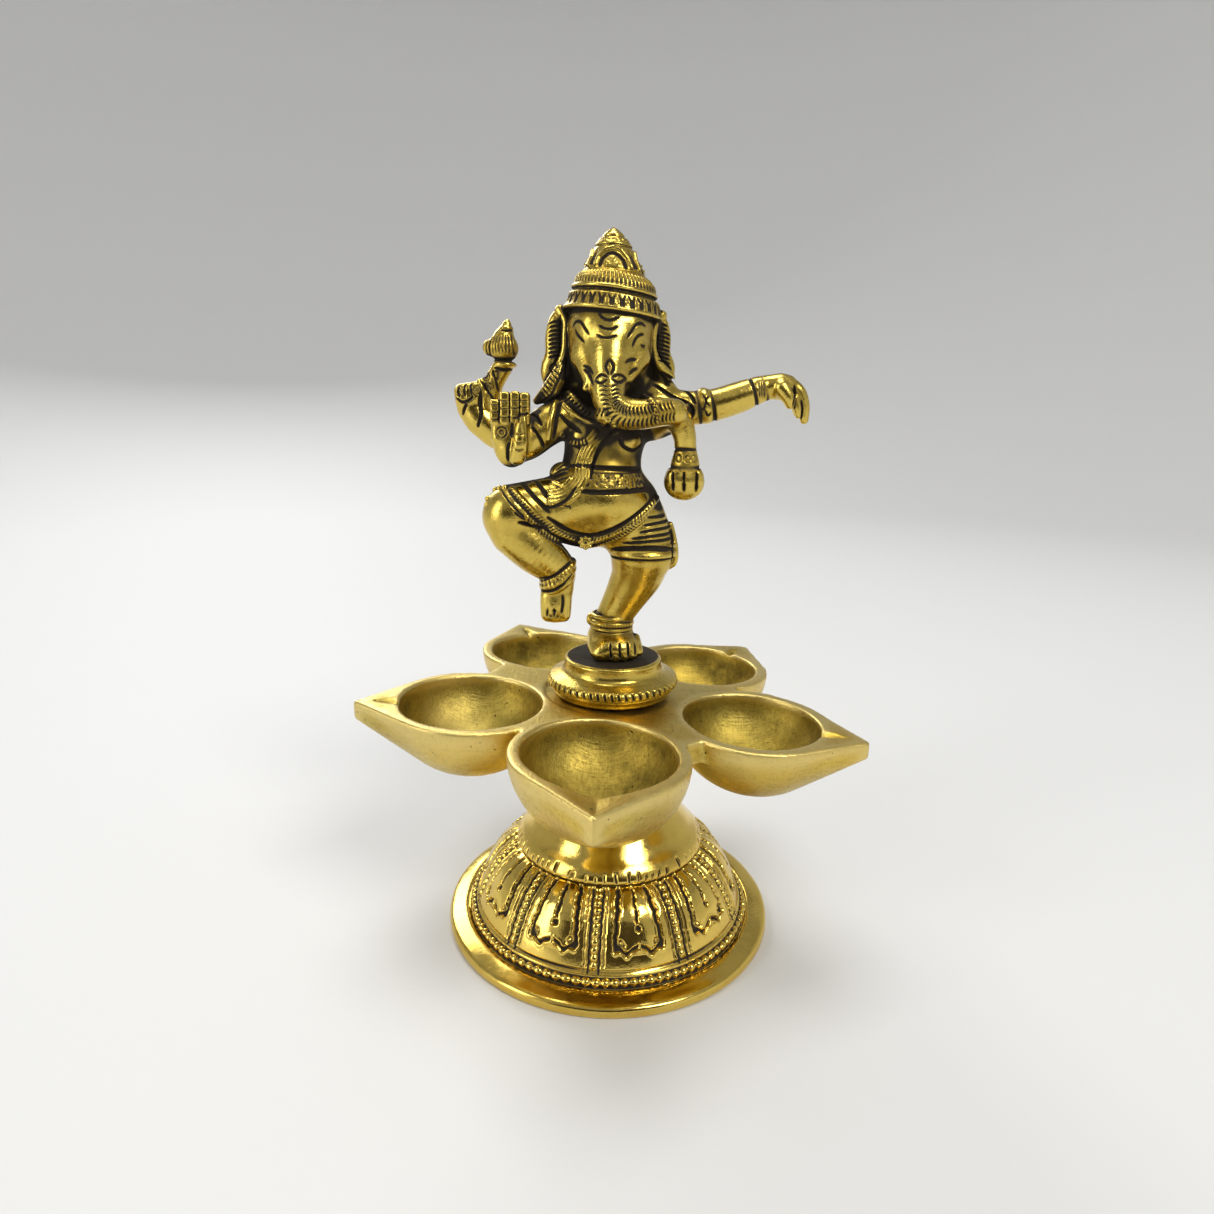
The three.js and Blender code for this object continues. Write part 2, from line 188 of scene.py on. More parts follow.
def satin_brass(name):
    """Filed and brushed brass: fine crossing scratches, dull bowls, pits and stains."""
    n = Nodes(name)
    cavity = n.attribute("cavity")
    bowl = n.attribute("bowl")
    blotches = n.noise(70.0, 4.0)
    patches = n.noise(23.0, 3.0)
    fine = n.noise(300.0, 4.0, 0.65)
    brushed = n.noise(190.0, 4.0, 0.75, stretch=(1.0, 20.0, 6.0), turn=(0.0, 0.0, 0.75))
    crossed = n.noise(150.0, 4.0, 0.75, stretch=(16.0, 1.0, 5.0), turn=(0.0, 0.0, 0.30))
    level = n.noise(170.0, 4.0, 0.75, stretch=(3.0, 3.0, 9.0), turn=(0.5, 0.35, 0.0))
    in_bowl = n.math("ADD", n.math("MULTIPLY", brushed, 0.55), n.math("MULTIPLY", crossed, 0.45))
    outside = n.math("ADD", n.math("MULTIPLY", level, 0.6), n.math("MULTIPLY", crossed, 0.4))
    scratches = n.math("ADD", n.math("MULTIPLY", in_bowl, n.math("MULTIPLY", bowl, 1.0)),
                       n.math("MULTIPLY", outside, n.math("SUBTRACT", 1.0, bowl)))
    pits = n.ramp(n.noise(900.0, 2.0, 0.4), 0.72, 0.77)
    top = rgb(0.66, 0.50, 0.115)
    warm = rgb(0.66, 0.45, 0.075)
    olive = rgb(0.33, 0.25, 0.045)
    metal = n.mix(n.ramp(blotches, 0.35, 0.65), top, warm)
    metal = n.mix(n.ramp(patches, 0.42, 0.62, 0.0, 0.45), metal, olive)
    metal = n.mix(n.math("MULTIPLY", bowl, n.ramp(fine, 0.25, 0.75, 0.40, 0.90)), metal, olive)
    marked = n.math("MULTIPLY", n.ramp(scratches, 0.42, 0.51, 0.50, 0.0), n.ramp(bowl, 0.0, 1.0, 0.45, 1.0))
    metal = n.mix(marked, metal, rgb(0.20, 0.14, 0.025))
    bright_edge = n.ramp(cavity, 0.08, 0.30, 0.0, 0.55)
    metal = n.mix(bright_edge, metal, rgb(0.82, 0.66, 0.27))
    metal = n.mix(n.math("MULTIPLY", pits, 0.8), metal, PATINA_AND_SHADE)
    stain = n.math("SUBTRACT", cavity, n.math("MULTIPLY", n.math("SUBTRACT", fine, 0.3), 0.35))
    grimy = n.ramp(stain, -0.42, 0.0, 0.92, 0.0)
    n.join(n.mix(grimy, metal, PATINA_AND_SHADE), n.shader.inputs["Base Color"])
    rough = n.ramp(scratches, 0.40, 0.58, 0.42, 0.29)
    rough = n.math("ADD", rough, n.math("MULTIPLY", bowl, 0.04))
    rough = n.math("ADD", rough, n.math("MULTIPLY", grimy, 0.25))
    n.join(rough, n.shader.inputs["Roughness"])
    n.shader.inputs["Metallic"].default_value = 1.0
    relief = n.math("ADD", n.math("MULTIPLY", scratches, 1.0), n.math("MULTIPLY", fine, 0.20))
    relief = n.math("SUBTRACT", relief, n.math("MULTIPLY", pits, 1.0))
    n.bump(relief, 0.70, 0.00026)
    return n.material


def plated_steel(name):
    n = Nodes(name)
    cloud = n.noise(220.0, 4.0)
    n.join(
        n.mix(n.ramp(cloud, 0.3, 0.7), rgb(0.40, 0.40, 0.38), rgb(0.60, 0.60, 0.58)),
        n.shader.inputs["Base Color"],
    )
    n.join(n.ramp(cloud, 0.3, 0.7, 0.42, 0.26), n.shader.inputs["Roughness"])
    n.shader.inputs["Metallic"].default_value = 1.0
    n.bump(n.noise(1600.0, 3.0), 0.2, 0.0001)
    return n.material


POLISHED = brass(
    "polished_brass_metal",
    bright=rgb(0.78, 0.56, 0.125),
    dull=rgb(0.66, 0.43, 0.075),
    patina_and_shade_from=-0.75,
    patina_and_shade_to=-0.20,
    shine=0.10,
    dull_shine=0.19,
    grain=0.10,
)
ANTIQUE = brass(
    "antique_brass_metal",
    bright=rgb(0.66, 0.485, 0.10),
    dull=rgb(0.43, 0.285, 0.04),
    patina_and_shade_from=-0.70,
    patina_and_shade_to=0.06,
    shine=0.16,
    dull_shine=0.30,
    grain=0.28,
)
SATIN = satin_brass("satin_brass_metal")
STEEL = plated_steel("plated_steel_metal")


# ---- Meshes --------------------------------------------------------------------------------


def make_object(name, points, faces, material, attributes=None, normals=None):
    """A smooth-shaded mesh object from millimetre points and a list or array of faces."""
    data = bpy.data.meshes.new(name)
    if isinstance(faces, np.ndarray):
        faces = faces.tolist()
    data.from_pydata(to_frame(points).tolist(), [], faces)
    data.materials.append(material)
    data.polygons.foreach_set("use_smooth", np.ones(len(data.polygons), bool))
    for key, values in (attributes or {}).items():
        layer = data.attributes.new(key, "FLOAT", "POINT")
        layer.data.foreach_set("value", np.asarray(values, np.float32))
    if normals is not None:
        data.normals_split_custom_set_from_vertices(normals.tolist())
    made = bpy.data.objects.new(name, data)
    bpy.context.scene.collection.objects.link(made)
    return made


def place(piece, body, slot, *nodes):
    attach(piece, body)
    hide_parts(*nodes)
    return piece


# ---- Clay: signed distances in a block of voxels --------------------------------------------

Shape = namedtuple("Shape", "low high distance")
FAR = 20.0
INK_SPREAD = 0.34


def smooth_min(a, b, blend):
    if blend <= 0:
        return np.minimum(a, b)
    h = np.clip(0.5 + 0.5 * (b - a) / blend, 0.0, 1.0)
    return b * (1 - h) + a * h - blend * h * (1 - h)


class Clay:
    """A block of voxels. Each shape added is owned by a named part, so that the finished
    sculpture can be cut into those parts along the lines where they meet."""

    def __init__(self, low, high, voxel):
        self.voxel = voxel
        self.low = np.array(low, float)
        count = np.ceil((np.array(high, float) - self.low) / voxel).astype(int) + 1
        self.axes = [
            (self.low[i] + voxel * np.arange(count[i])).astype(np.float32) for i in range(3)
        ]
        self.field = np.full(count, FAR, np.float32)
        self.nearest = np.full(count, FAR, np.float32)
        self.owner = np.zeros(count, np.uint8)
        self.ink = np.zeros(count, np.float32)
        self.parts = []

    def window(self, shape, margin):
        spans = []
        for i in range(3):
            first = int(math.floor((shape.low[i] - margin - self.low[i]) / self.voxel))
            last = int(math.ceil((shape.high[i] + margin - self.low[i]) / self.voxel)) + 1
            first, last = max(first, 0), min(last, len(self.axes[i]))
            if last <= first:
                return None
            spans.append(slice(first, last))
        x, y, z = (axis[span] for axis, span in zip(self.axes, spans))
        return tuple(spans), (x[:, None, None], y[None, :, None], z[None, None, :])

    def add(self, shape, blend=0.0, part=None):
        found = self.window(shape, blend + 3.0)
        if not found:
            return
        spans, (x, y, z) = found
        distance = shape.distance(x, y, z).astype(np.float32)
        if part is not None:
            if part not in self.parts:
                self.parts.append(part)
            mark = self.parts.index(part)
            closer = distance < self.nearest[spans]
            self.owner[spans][closer] = mark
            self.nearest[spans] = np.minimum(self.nearest[spans], distance)
        self.field[spans] = smooth_min(self.field[spans], distance, blend)

    def carve(self, shape, blend=0.0, ink=0.0):
        """Cuts a shape away. ink is how dark the patina in the cut will be."""
        found = self.window(shape, blend + 1.0)
        if not found:
            return
        spans, (x, y, z) = found
        distance = shape.distance(x, y, z).astype(np.float32)
        self.field[spans] = -smooth_min(-self.field[spans], distance, blend)
        if ink > 0:
            stain = ink * np.clip(1.0 - distance / INK_SPREAD, 0, 1)
            self.ink[spans] = np.maximum(self.ink[spans], stain)

    def sample(self, array, points):
        """Values of an array of this block at millimetre points, by trilinear mixing."""
        position = (np.asarray(points, float) - self.low) / self.voxel
        base = np.floor(position).astype(int)
        base = np.clip(base, 0, np.array(array.shape) - 2)
        part = position - base
        total = 0.0
        for corner in range(8):
            step = np.array([corner >> 2 & 1, corner >> 1 & 1, corner & 1])
            weight = np.prod(np.where(step, part, 1 - part), axis=1)
            index = base + step
            total = total + weight * array[index[:, 0], index[:, 1], index[:, 2]]
        return total

    def hit(self, origin, direction, reach=60.0):
        """The first point of the surface met from origin along direction, or None."""
        direction = np.array(direction, float)
        direction /= np.linalg.norm(direction)
        steps = np.arange(0.0, reach, self.voxel * 0.5)
        points = np.array(origin, float) + steps[:, None] * direction
        inside = np.all((points > self.low) & (points < [a[-1] for a in self.axes]), axis=1)
        points = points[inside]
        if len(points) == 0:
            return None
        values = self.sample(self.field, points)
        below = np.flatnonzero(values < 0)
        if len(below) == 0:
            return None
        i = below[0]
        if i == 0:
            return points[0]
        share = values[i - 1] / (values[i - 1] - values[i])
        return points[i - 1] + share * (points[i] - points[i - 1])

    def occlusion_shade(self, points, normals, reaches):
        """How much of the air over each point is taken by nearby surfaces: an occlusion measure, used to
        paint shade into the figure's recesses.
        """
        total = np.zeros(len(points))
        for reach in reaches:
            clear = self.sample(self.field, points + normals * reach)
            total += np.clip((reach - clear) / reach, 0, 1.3)
        return total / len(reaches)

    def blurred(self, reach):
        """The field, clipped and averaged over a cube of half-width reach, in mm."""
        half = max(1, int(round(reach / self.voxel)))
        out = np.clip(self.field, -1.5 * reach, 1.5 * reach).astype(np.float32)
        for axis in range(3):
            for _ in range(2):
                padded = np.concatenate(
                    [np.repeat(np.take(out, [0], axis), half + 1, axis), out,
                     np.repeat(np.take(out, [-1], axis), half, axis)], axis)
                sums = np.cumsum(padded, axis=axis, dtype=np.float64)
                size = out.shape[axis]
                width = 2 * half + 1
                upper = np.take(sums, range(width, width + size), axis)
                lower = np.take(sums, range(0, size), axis)
                out = ((upper - lower) / width).astype(np.float32)
        return out

    def surface(self):
        """Points, quads and outward normals of the surface, in millimetres."""
        reach = 3.0 * self.voxel
        grid = openvdb.FloatGrid(reach)
        grid.copyFromArray(np.clip(self.field, -reach, reach))
        points, quads = grid.convertToQuads(0.0)
        points = self.low + points.astype(float) * self.voxel
        step = self.voxel * 0.75
        normals = np.empty_like(points)
        for axis in range(3):
            shift = np.zeros(3)
            shift[axis] = step
            ahead = self.sample(self.field, points + shift)
            behind = self.sample(self.field, points - shift)
            normals[:, axis] = ahead - behind
        normals /= np.maximum(np.linalg.norm(normals, axis=1, keepdims=True), 1e-9)
        return points, quads.astype(np.int64), normals


def bounds_of(*point_lists):
    stacked = np.vstack([np.atleast_2d(p) for p in point_lists])
    return stacked.min(0), stacked.max(0)


def ball(centre, radii, turn=None):
    """A ball or ellipsoid. turn is a mathutils Matrix that turns it about its centre."""
    centre = np.array(centre, float)
    radii = np.full(3, radii, float) if np.isscalar(radii) else np.array(radii, float)
    reach = np.full(3, radii.max()) if turn is not None else radii
    back = np.array(turn.to_3x3()).T if turn is not None else np.eye(3)

    def distance(x, y, z):
        px, py, pz = x - centre[0], y - centre[1], z - centre[2]
        if turn is not None:
            px, py, pz = (r[0] * px + r[1] * py + r[2] * pz for r in back)
        near = np.sqrt((px / radii[0]) ** 2 + (py / radii[1]) ** 2 + (pz / radii[2]) ** 2)
        slope = np.sqrt(
            (px / radii[0] ** 2) ** 2 + (py / radii[1] ** 2) ** 2 + (pz / radii[2] ** 2) ** 2
        )
        return near * (near - 1) / np.maximum(slope, 1e-6)

    return Shape(centre - reach, centre + reach, distance)


def block(centre, half, rounding=0.3, turn=None):
    """A box with rounded edges; half holds its half-sizes."""
    centre, half = np.array(centre, float), np.array(half, float)
    reach = np.full(3, np.linalg.norm(half)) if turn is not None else half
    back = np.array(turn.to_3x3()).T if turn is not None else np.eye(3)

    def distance(x, y, z):
        px, py, pz = x - centre[0], y - centre[1], z - centre[2]
        if turn is not None:
            px, py, pz = (r[0] * px + r[1] * py + r[2] * pz for r in back)
        qx, qy, qz = (
            np.abs(p) - (h - rounding) for p, h in zip((px, py, pz), half)
        )
        outside = np.sqrt(
            np.maximum(qx, 0) ** 2 + np.maximum(qy, 0) ** 2 + np.maximum(qz, 0) ** 2
        )
        inside = np.minimum(np.maximum(qx, np.maximum(qy, qz)), 0)
        return outside + inside - rounding

    return Shape(centre - reach, centre + reach, distance)


def rod_distance(x, y, z, a, b, ra, rb):
    along = b - a
    length = max(float(along @ along), 1e-9)
    share = ((x - a[0]) * along[0] + (y - a[1]) * along[1] + (z - a[2]) * along[2]) / length
    share = np.clip(share, 0, 1)
    dx = x - a[0] - share * along[0]
    dy = y - a[1] - share * along[1]
    dz = z - a[2] - share * along[2]
    return np.sqrt(dx * dx + dy * dy + dz * dz) - (ra + share * (rb - ra))


def spline(points, per_span=6):
    """A Catmull-Rom curve through rows of numbers."""
    points = np.array(points, float)
    if len(points) < 3:
        share = np.linspace(0, 1, per_span + 1)[:, None]
        return points[0] * (1 - share) + points[-1] * share
    ends = np.vstack([2 * points[0] - points[1], points, 2 * points[-1] - points[-2]])
    out = []
    for i in range(len(points) - 1):
        p0, p1, p2, p3 = ends[i : i + 4]
        for t in np.arange(per_span) / per_span:
            out.append(
                0.5 * (2 * p1 + (p2 - p0) * t + (2 * p0 - 5 * p1 + 4 * p2 - p3) * t * t
                       + (3 * p1 - p0 - 3 * p2 + p3) * t ** 3)
            )
    out.append(points[-1])
    return np.array(out)


def strand(rows, per_span=6):
    """A tube along a curve. Each row is x, y, z, radius."""
    curve = spline(rows, per_span)
    centres, radii = curve[:, :3], np.maximum(curve[:, 3], 0.02)
    low = (centres - radii[:, None]).min(0)
    high = (centres + radii[:, None]).max(0)

    def distance(x, y, z):
        best = None
        for i in range(len(centres) - 1):
            d = rod_distance(x, y, z, centres[i], centres[i + 1], radii[i], radii[i + 1])
            best = d if best is None else np.minimum(best, d)
        return best

    return Shape(low, high, distance)


def even(rows, spacing):
    """Points at even distances along a curve through rows; the first three columns are
    the place."""
    curve = spline(rows, 16)
    gaps = np.linalg.norm(np.diff(curve[:, :3], axis=0), axis=1)
    length = np.concatenate([[0], np.cumsum(gaps)])
    count = max(2, int(round(length[-1] / spacing)) + 1)
    where = np.linspace(0, length[-1], count)
    return np.stack([np.interp(where, length, curve[:, i]) for i in range(curve.shape[1])], 1)


# ---- Stage, light and camera ---------------------------------------------------------------

CAMERA_AT = (0.0, -161.5, 114.1)
PITCH, ROLL, YAW = math.radians(13.86), math.radians(1.05), math.radians(0.545)
LENS = 22.27


def make_camera():
    ahead = Vector((-math.sin(YAW) * math.cos(PITCH), math.cos(YAW) * math.cos(PITCH),
                    -math.sin(PITCH)))
    level = ahead.cross(Vector((0, 0, 1))).normalized()
    rise = level.cross(ahead)
    right = math.cos(ROLL) * level + math.sin(ROLL) * rise
    up = -math.sin(ROLL) * level + math.cos(ROLL) * rise
    place_at = Matrix((right, up, -ahead)).transposed().to_4x4()
    place_at.translation = Vector(to_frame(CAMERA_AT))
    data = bpy.data.cameras.new("camera")
    data.lens = LENS
    data.sensor_width = 36.0
    data.clip_start = 0.01
    data.clip_end = 20.0
    camera = bpy.data.objects.new("camera", data)
    camera.matrix_world = place_at
    bpy.context.scene.collection.objects.link(camera)
    bpy.context.scene.camera = camera


def area_light(name, at, aim, width, height, watts, tint=(1, 1, 1)):
    data = bpy.data.lights.new(name, "AREA")
    data.shape = "RECTANGLE"
    data.size = width
    data.size_y = height
    data.energy = watts
    data.color = tint
    made = bpy.data.objects.new(name, data)
    at, aim = Vector(at), Vector(aim)
    made.location = at
    made.rotation_euler = (aim - at).to_track_quat("-Z", "Y").to_euler()
    bpy.context.scene.collection.objects.link(made)


def make_stage():
    n = Nodes("floor_paper")
    n.shader.inputs["Base Color"].default_value = rgb(0.70, 0.70, 0.69)
    n.shader.inputs["Roughness"].default_value = 0.62
    n.shader.inputs["Specular IOR Level"].default_value = 0.3
    # A round floor that curves up all about the lamp, one smooth sheet.
    flat, bend, around = 0.9, 0.9, 96
    arc = np.linspace(0.0, math.pi / 2, 32)
    profile = [(r, 0.0) for r in (0.3, 0.6)]
    profile += [(flat + bend * math.sin(a), bend - bend * math.cos(a)) for a in arc]
    profile.append((flat + bend, 1.15))
    turns = np.linspace(0, 2 * math.pi, around, endpoint=False)
    points = [(0.0, 0.0, 0.0)]
    points += [(r * math.cos(t), r * math.sin(t), z) for r, z in profile for t in turns]
    faces = [(0, 1 + i, 1 + (i + 1) % around) for i in range(around)]
    for ring in range(len(profile) - 1):
        here = 1 + ring * around
        faces += [
            (here + i, here + around + i, here + around + (i + 1) % around, here + (i + 1) % around)
            for i in range(around)
        ]
    data = bpy.data.meshes.new("floor")
    data.from_pydata(points, [], faces)
    data.materials.append(n.material)
    data.polygons.foreach_set("use_smooth", np.ones(len(data.polygons), bool))
    floor = bpy.data.objects.new("floor", data)
    bpy.context.scene.collection.objects.link(floor)

    # A dark flag behind the camera gives the polished brass something dark to reflect.
    n = Nodes("flag_cloth")
    n.shader.inputs["Base Color"].default_value = rgb(0.045, 0.035, 0.028)
    n.shader.inputs["Roughness"].default_value = 0.9
    data = bpy.data.meshes.new("flag")
    data.from_pydata(
        [(-0.55, -0.80, 0.03), (0.55, -0.80, 0.03), (0.55, -0.80, 0.50), (-0.55, -0.80, 0.50)],
        [], [(0, 1, 2, 3)],
    )
    data.materials.append(n.material)
    flag = bpy.data.objects.new("flag", data)
    flag.visible_camera = False
    flag.visible_diffuse = False
    flag.visible_shadow = False
    bpy.context.scene.collection.objects.link(flag)

    world = bpy.data.worlds.new("studio")
    bpy.context.scene.world = world
    world.use_nodes = True
    nodes, links = world.node_tree.nodes, world.node_tree.links
    nodes.clear()
    output = nodes.new("ShaderNodeOutputWorld")
    background = nodes.new("ShaderNodeBackground")
    background.inputs["Strength"].default_value = 0.38
    where = nodes.new("ShaderNodeTexCoord")
    split = nodes.new("ShaderNodeSeparateXYZ")
    height = nodes.new("ShaderNodeMapRange")
    height.inputs["From Min"].default_value = -0.25
    height.inputs["From Max"].default_value = 0.9
    shade = nodes.new("ShaderNodeMix")
    shade.data_type = "RGBA"
    shade.inputs["A"].default_value = rgb(0.10, 0.097, 0.09)
    shade.inputs["B"].default_value = rgb(1.0, 1.0, 1.0)
    links.new(where.outputs["Generated"], split.inputs[0])
    links.new(split.outputs["Z"], height.inputs["Value"])
    links.new(height.outputs[0], shade.inputs["Factor"])
    links.new(shade.outputs["Result"], background.inputs["Color"])
    links.new(background.outputs[0], output.inputs["Surface"])

    aim = (0.0, 0.0, 0.07)
    area_light("key", (0.67, -0.80, 1.12), aim, 0.58, 0.45, 10.2, (1.0, 0.985, 0.96))
    area_light("fill", (-0.99, -0.56, 0.51), aim, 0.40, 0.88, 4.4)
    area_light("top", (-0.08, 0.16, 1.36), aim, 0.64, 0.48, 6.4)
    area_light("rear", (-0.56, 0.96, 0.72), aim, 0.56, 0.48, 5.1)


# ---- Turned pieces: fine grids -------------------------------------------------------------


def resample(profile, spacing):
    """A profile of (radius, height) rows at even spacing, rounded through its points."""
    rows = [(r, z, 0.0, 0.0) for r, z in profile]
    return even(rows, spacing)[:, :2]


def sheet(rings, columns, closed=True):
    """Quads of a grid of rings x columns that wraps round; rings run upwards, facing out."""
    first = np.arange(columns)
    second = (first + 1) % columns
    base = np.arange(rings - 1)[:, None] * columns
    return np.stack(
        [base + first, base + second, base + columns + second, base + columns + first], 2
    ).reshape(-1, 4)


def turned(profile, columns):
    """Points of a profile turned round the axis, in rings."""
    turn = np.linspace(0, 2 * np.pi, columns, endpoint=False)
    radius, height = profile[:, 0][:, None], profile[:, 1][:, None]
    return np.stack(
        [radius * np.cos(turn), radius * np.sin(turn), height + 0 * turn], 2
    ), turn


def soft_step(value, low, high):
    share = np.clip((value - low) / (high - low), 0, 1)
    return share * share * (3 - 2 * share)


def groove(distance, width):
    """1 in the middle of a line, falling to 0 at half its width."""
    return 1 - soft_step(np.abs(distance), width * 0.25, width * 0.75)


def pearl(distance, along, pitch, radius):
    """Height, as a share of its radius, of the pearl of a string at each place."""
    along = (along / pitch - np.floor(along / pitch) - 0.5) * pitch
    return np.sqrt(np.clip(1 - (distance ** 2 + along ** 2) / radius ** 2, 0, 1))


PANELS = 10
PANEL_TURN = math.radians(-5 - 90)

BELL_PROFILE = [
    (20.8, 18.6), (21.6, 18.5), (23.2, 17.6), (26.0, 15.2), (28.2, 12.0), (30.2, 8.0),
    (31.4, 5.0),
]
BEAD_PROFILE = [(31.4, 5.0), (32.0, 4.6), (32.6, 3.9), (32.7, 3.0), (33.2, 2.8)]
FLANGE_PROFILE = [
    (33.2, 2.8), (33.8, 3.0), (34.8, 2.95), (36.0, 2.75), (37.0, 2.5), (37.55, 2.15),
    (37.8, 1.5), (37.78, 0.6), (37.4, 0.0),
]
INNER_PROFILE = [
    (20.5, 15.9), (23.6, 14.0), (25.9, 11.5), (27.9, 8.0), (29.3, 4.0), (31.0, 1.8), (33.5, 0.0),
]


def panel_pattern(across, down):
    """Relief and darkness of one panel at its millimetres across its middle and down."""
    sole_at = 13.7
    leg = 2.6 + 2.7 * (np.clip(down, 0, sole_at) / sole_at) ** 0.9
    apart = np.abs(across)
    sole = sole_at - 1.6 * np.exp(-((apart / 0.8) ** 2)) + 0.45 * np.cos(apart * 2.3)
    corner = 1.8
    upright = np.where(down < sole - corner, np.abs(apart - leg), 9.0)
    floor = np.where((apart < leg - corner) & (apart > 0.25), np.abs(down - sole), 9.0)
    inset = np.hypot(np.maximum(apart - (leg - corner), 0), np.maximum(down - (sole - corner), 0))
    turning = (apart >= leg - corner) & (down >= sole - corner)
    curve = np.where(turning, np.abs(inset - corner), np.minimum(upright, floor))
    line = groove(curve, 0.86) * soft_step(down, 0.5, 1.3)
    curl = np.hypot(apart - (leg - 1.3), down - (sole - 1.4))
    line = np.maximum(line, 0.8 * groove(curl - 0.5, 0.42))
    slit = groove(across, 0.62) * soft_step(down, 0.6, 1.4) * (1 - soft_step(down, 8.0, 8.6))
    dot = 1 - soft_step(np.hypot(across, down - 9.3), 0.42, 0.80)
    border = 0.6 * groove(apart - leg - 0.9, 0.36) * soft_step(down, 1.0, 3.0)
    border = border * (1 - soft_step(down, 10.5, 13.0)) * (0.6 + 0.4 * np.sin(3 * down))
    petal = np.clip(1 - (across / leg) ** 2, 0, 1) * np.clip(1 - ((down - 7.2) / 7.0) ** 2, 0, 1)
    carved = np.maximum(np.maximum(line, slit), dot)
    burr = groove(curve - 0.75, 0.45) * soft_step(down, 0.8, 1.6)
    height = 0.50 * np.sqrt(petal) + 0.10 * burr - 0.70 * carved - 0.22 * border
    return height, np.maximum(carved, border)


def make_bell():
    columns, spacing = 800, 0.20
    rng = np.random.default_rng(11)
    profile = resample(BELL_PROFILE, spacing)
    grid, turn = turned(profile, columns)
    gaps = np.linalg.norm(np.diff(profile, axis=0), axis=1)
    down = np.concatenate([[0], np.cumsum(gaps)])[:, None]
    share = (turn - PANEL_TURN) / (2 * np.pi) * PANELS
    # Panels are laid out from their beaded borders; a little hand-cut unevenness in each.
    index = np.floor(share + 0.5).astype(int) % PANELS
    wander = rng.uniform(-0.22, 0.22, PANELS)[index]
    border = (share - np.round(share)) * (2 * np.pi / PANELS) * profile[:, 0][:, None]
    middle = (share - np.floor(share) - 0.5) * (2 * np.pi / PANELS) * profile[:, 0][:, None]
    sag = 0.10 * np.sin(3 * turn + 1.0) + 0.08 * np.sin(7 * turn)
    # The chaser's hand shook a little: lines wander by a tenth of a millimetre or two.
    shake = 0.10 * np.sin(1.9 * down + 5.0 * index) + 0.06 * np.sin(4.3 * down + 2.0 * index)
    height, dark = panel_pattern(middle + wander * 0.5 + shake, down + sag)
    border = border + 0.6 * shake
    strip = np.abs(border)
    beads = pearl(border, down + wander, 1.55, 0.80)
    lines = np.maximum(groove(strip - 1.12, 0.60), 0.75 * groove(strip - 2.05, 0.40))
    fade = soft_step(down, 0.5, 1.4)
    inside = strip < 0.95
    height = np.where(strip < 2.6, 0.0, height)
    dark = np.where(strip < 2.6, 0.0, dark)
    height = height - 0.50 * lines * fade + np.where(inside, 0.42 * beads - 0.22, 0.0) * fade
    dark = np.maximum(dark, lines * fade)
    dark = np.where(inside, 0.75 * (1 - soft_step(beads, 0.15, 0.6)) * fade, dark)
    end = profile[-1, 0] * 0 + down[-1, 0]
    band = groove(down - (end - 0.55), 0.55) * (0.65 + 0.35 * np.sin(6 * turn + 1.0))
    height = height * (1 - soft_step(down - end, -1.4, -0.9)) - 0.45 * band
    dark = np.maximum(dark, band)
    top = groove(down - 0.35, 0.6)
    dark = np.maximum(dark, 0.8 * top)
    upper = surface_grid(grid, profile, height)
    cavity = 0.25 - 1.15 * dark

    bead_line = resample(BEAD_PROFILE, 0.16)
    ring, turn = turned(bead_line, columns)
    gaps = np.linalg.norm(np.diff(bead_line, axis=0), axis=1)
    low = np.concatenate([[0], np.cumsum(gaps)])[:, None]
    middle_at = low[-1, 0] * 0.5
    pearls = pearl(low - middle_at, turn * 32.6 + 0.5 * np.sin(5 * turn), 2.0, 1.0)
    worn = 0.75 + 0.25 * np.sin(13 * turn + 1.0) * np.sin(5 * turn)
    pearls = pearls * worn
    ring_height = 0.85 * pearls - 0.35
    ring_dark = 1 - soft_step(pearls, 0.08, 0.45)
    ring_dark = ring_dark * (1 - soft_step(np.abs(low - middle_at), 1.0, 1.5))
    edge = np.minimum(low, low[-1, 0] - low)
    ring_height = ring_height * soft_step(edge, 0.0, 0.5)
    lower = surface_grid(ring, bead_line, ring_height)

    flange = resample(FLANGE_PROFILE, 0.22)
    rim, turn = turned(flange, columns // 2)
    ripple = 0.05 * np.sin(9 * turn + 0.6) + 0.04 * np.sin(17 * turn)
    rim[..., 2] += ripple * soft_step(rim[..., 2], 0.2, 1.5)
    inward = -np.hypot(rim[..., 0], rim[..., 1])
    rim_stain = 0.10 - 0.45 * soft_step(inward, -34.2, -33.2)
    rim_stain = rim_stain + 0.10 * np.sin(7 * turn) * np.sin(3 * turn + 1.0)
    inner = resample(INNER_PROFILE, 0.6)[::-1]
    hollow, _ = turned(inner, columns // 4)

    stacks = [
        (upper, cavity), (lower, 0.3 - 1.2 * ring_dark),
        (rim, rim_stain), (hollow, np.full(hollow.shape[:2], -0.05)),
    ]
    points, faces, values = [], [], []
    start = 0
    for grid, value in stacks:
        rings, count = grid.shape[:2]
        points.append(grid.reshape(-1, 3))
        values.append(np.broadcast_to(value, (rings, count)).reshape(-1))
        # Each profile runs down and out, so its quads are turned to face away from the wall.
        faces.append(start + sheet(rings, count)[:, ::-1])
        start += rings * count
    faces = np.vstack(faces).tolist()
    base = 0
    spans = []
    for grid, _ in stacks:
        spans.append((base, grid.shape[0], grid.shape[1]))
        base += grid.shape[0] * grid.shape[1]
    for a, b in ((0, 1), (1, 2), (2, 3), (3, 0)):
        faces += bridge(spans[a], spans[b])
    bell = make_object("bell", np.vstack(points), faces, POLISHED,
                       {"cavity": np.concatenate(values)})
    place(bell, "foot", "polished_brass", "base_bell")


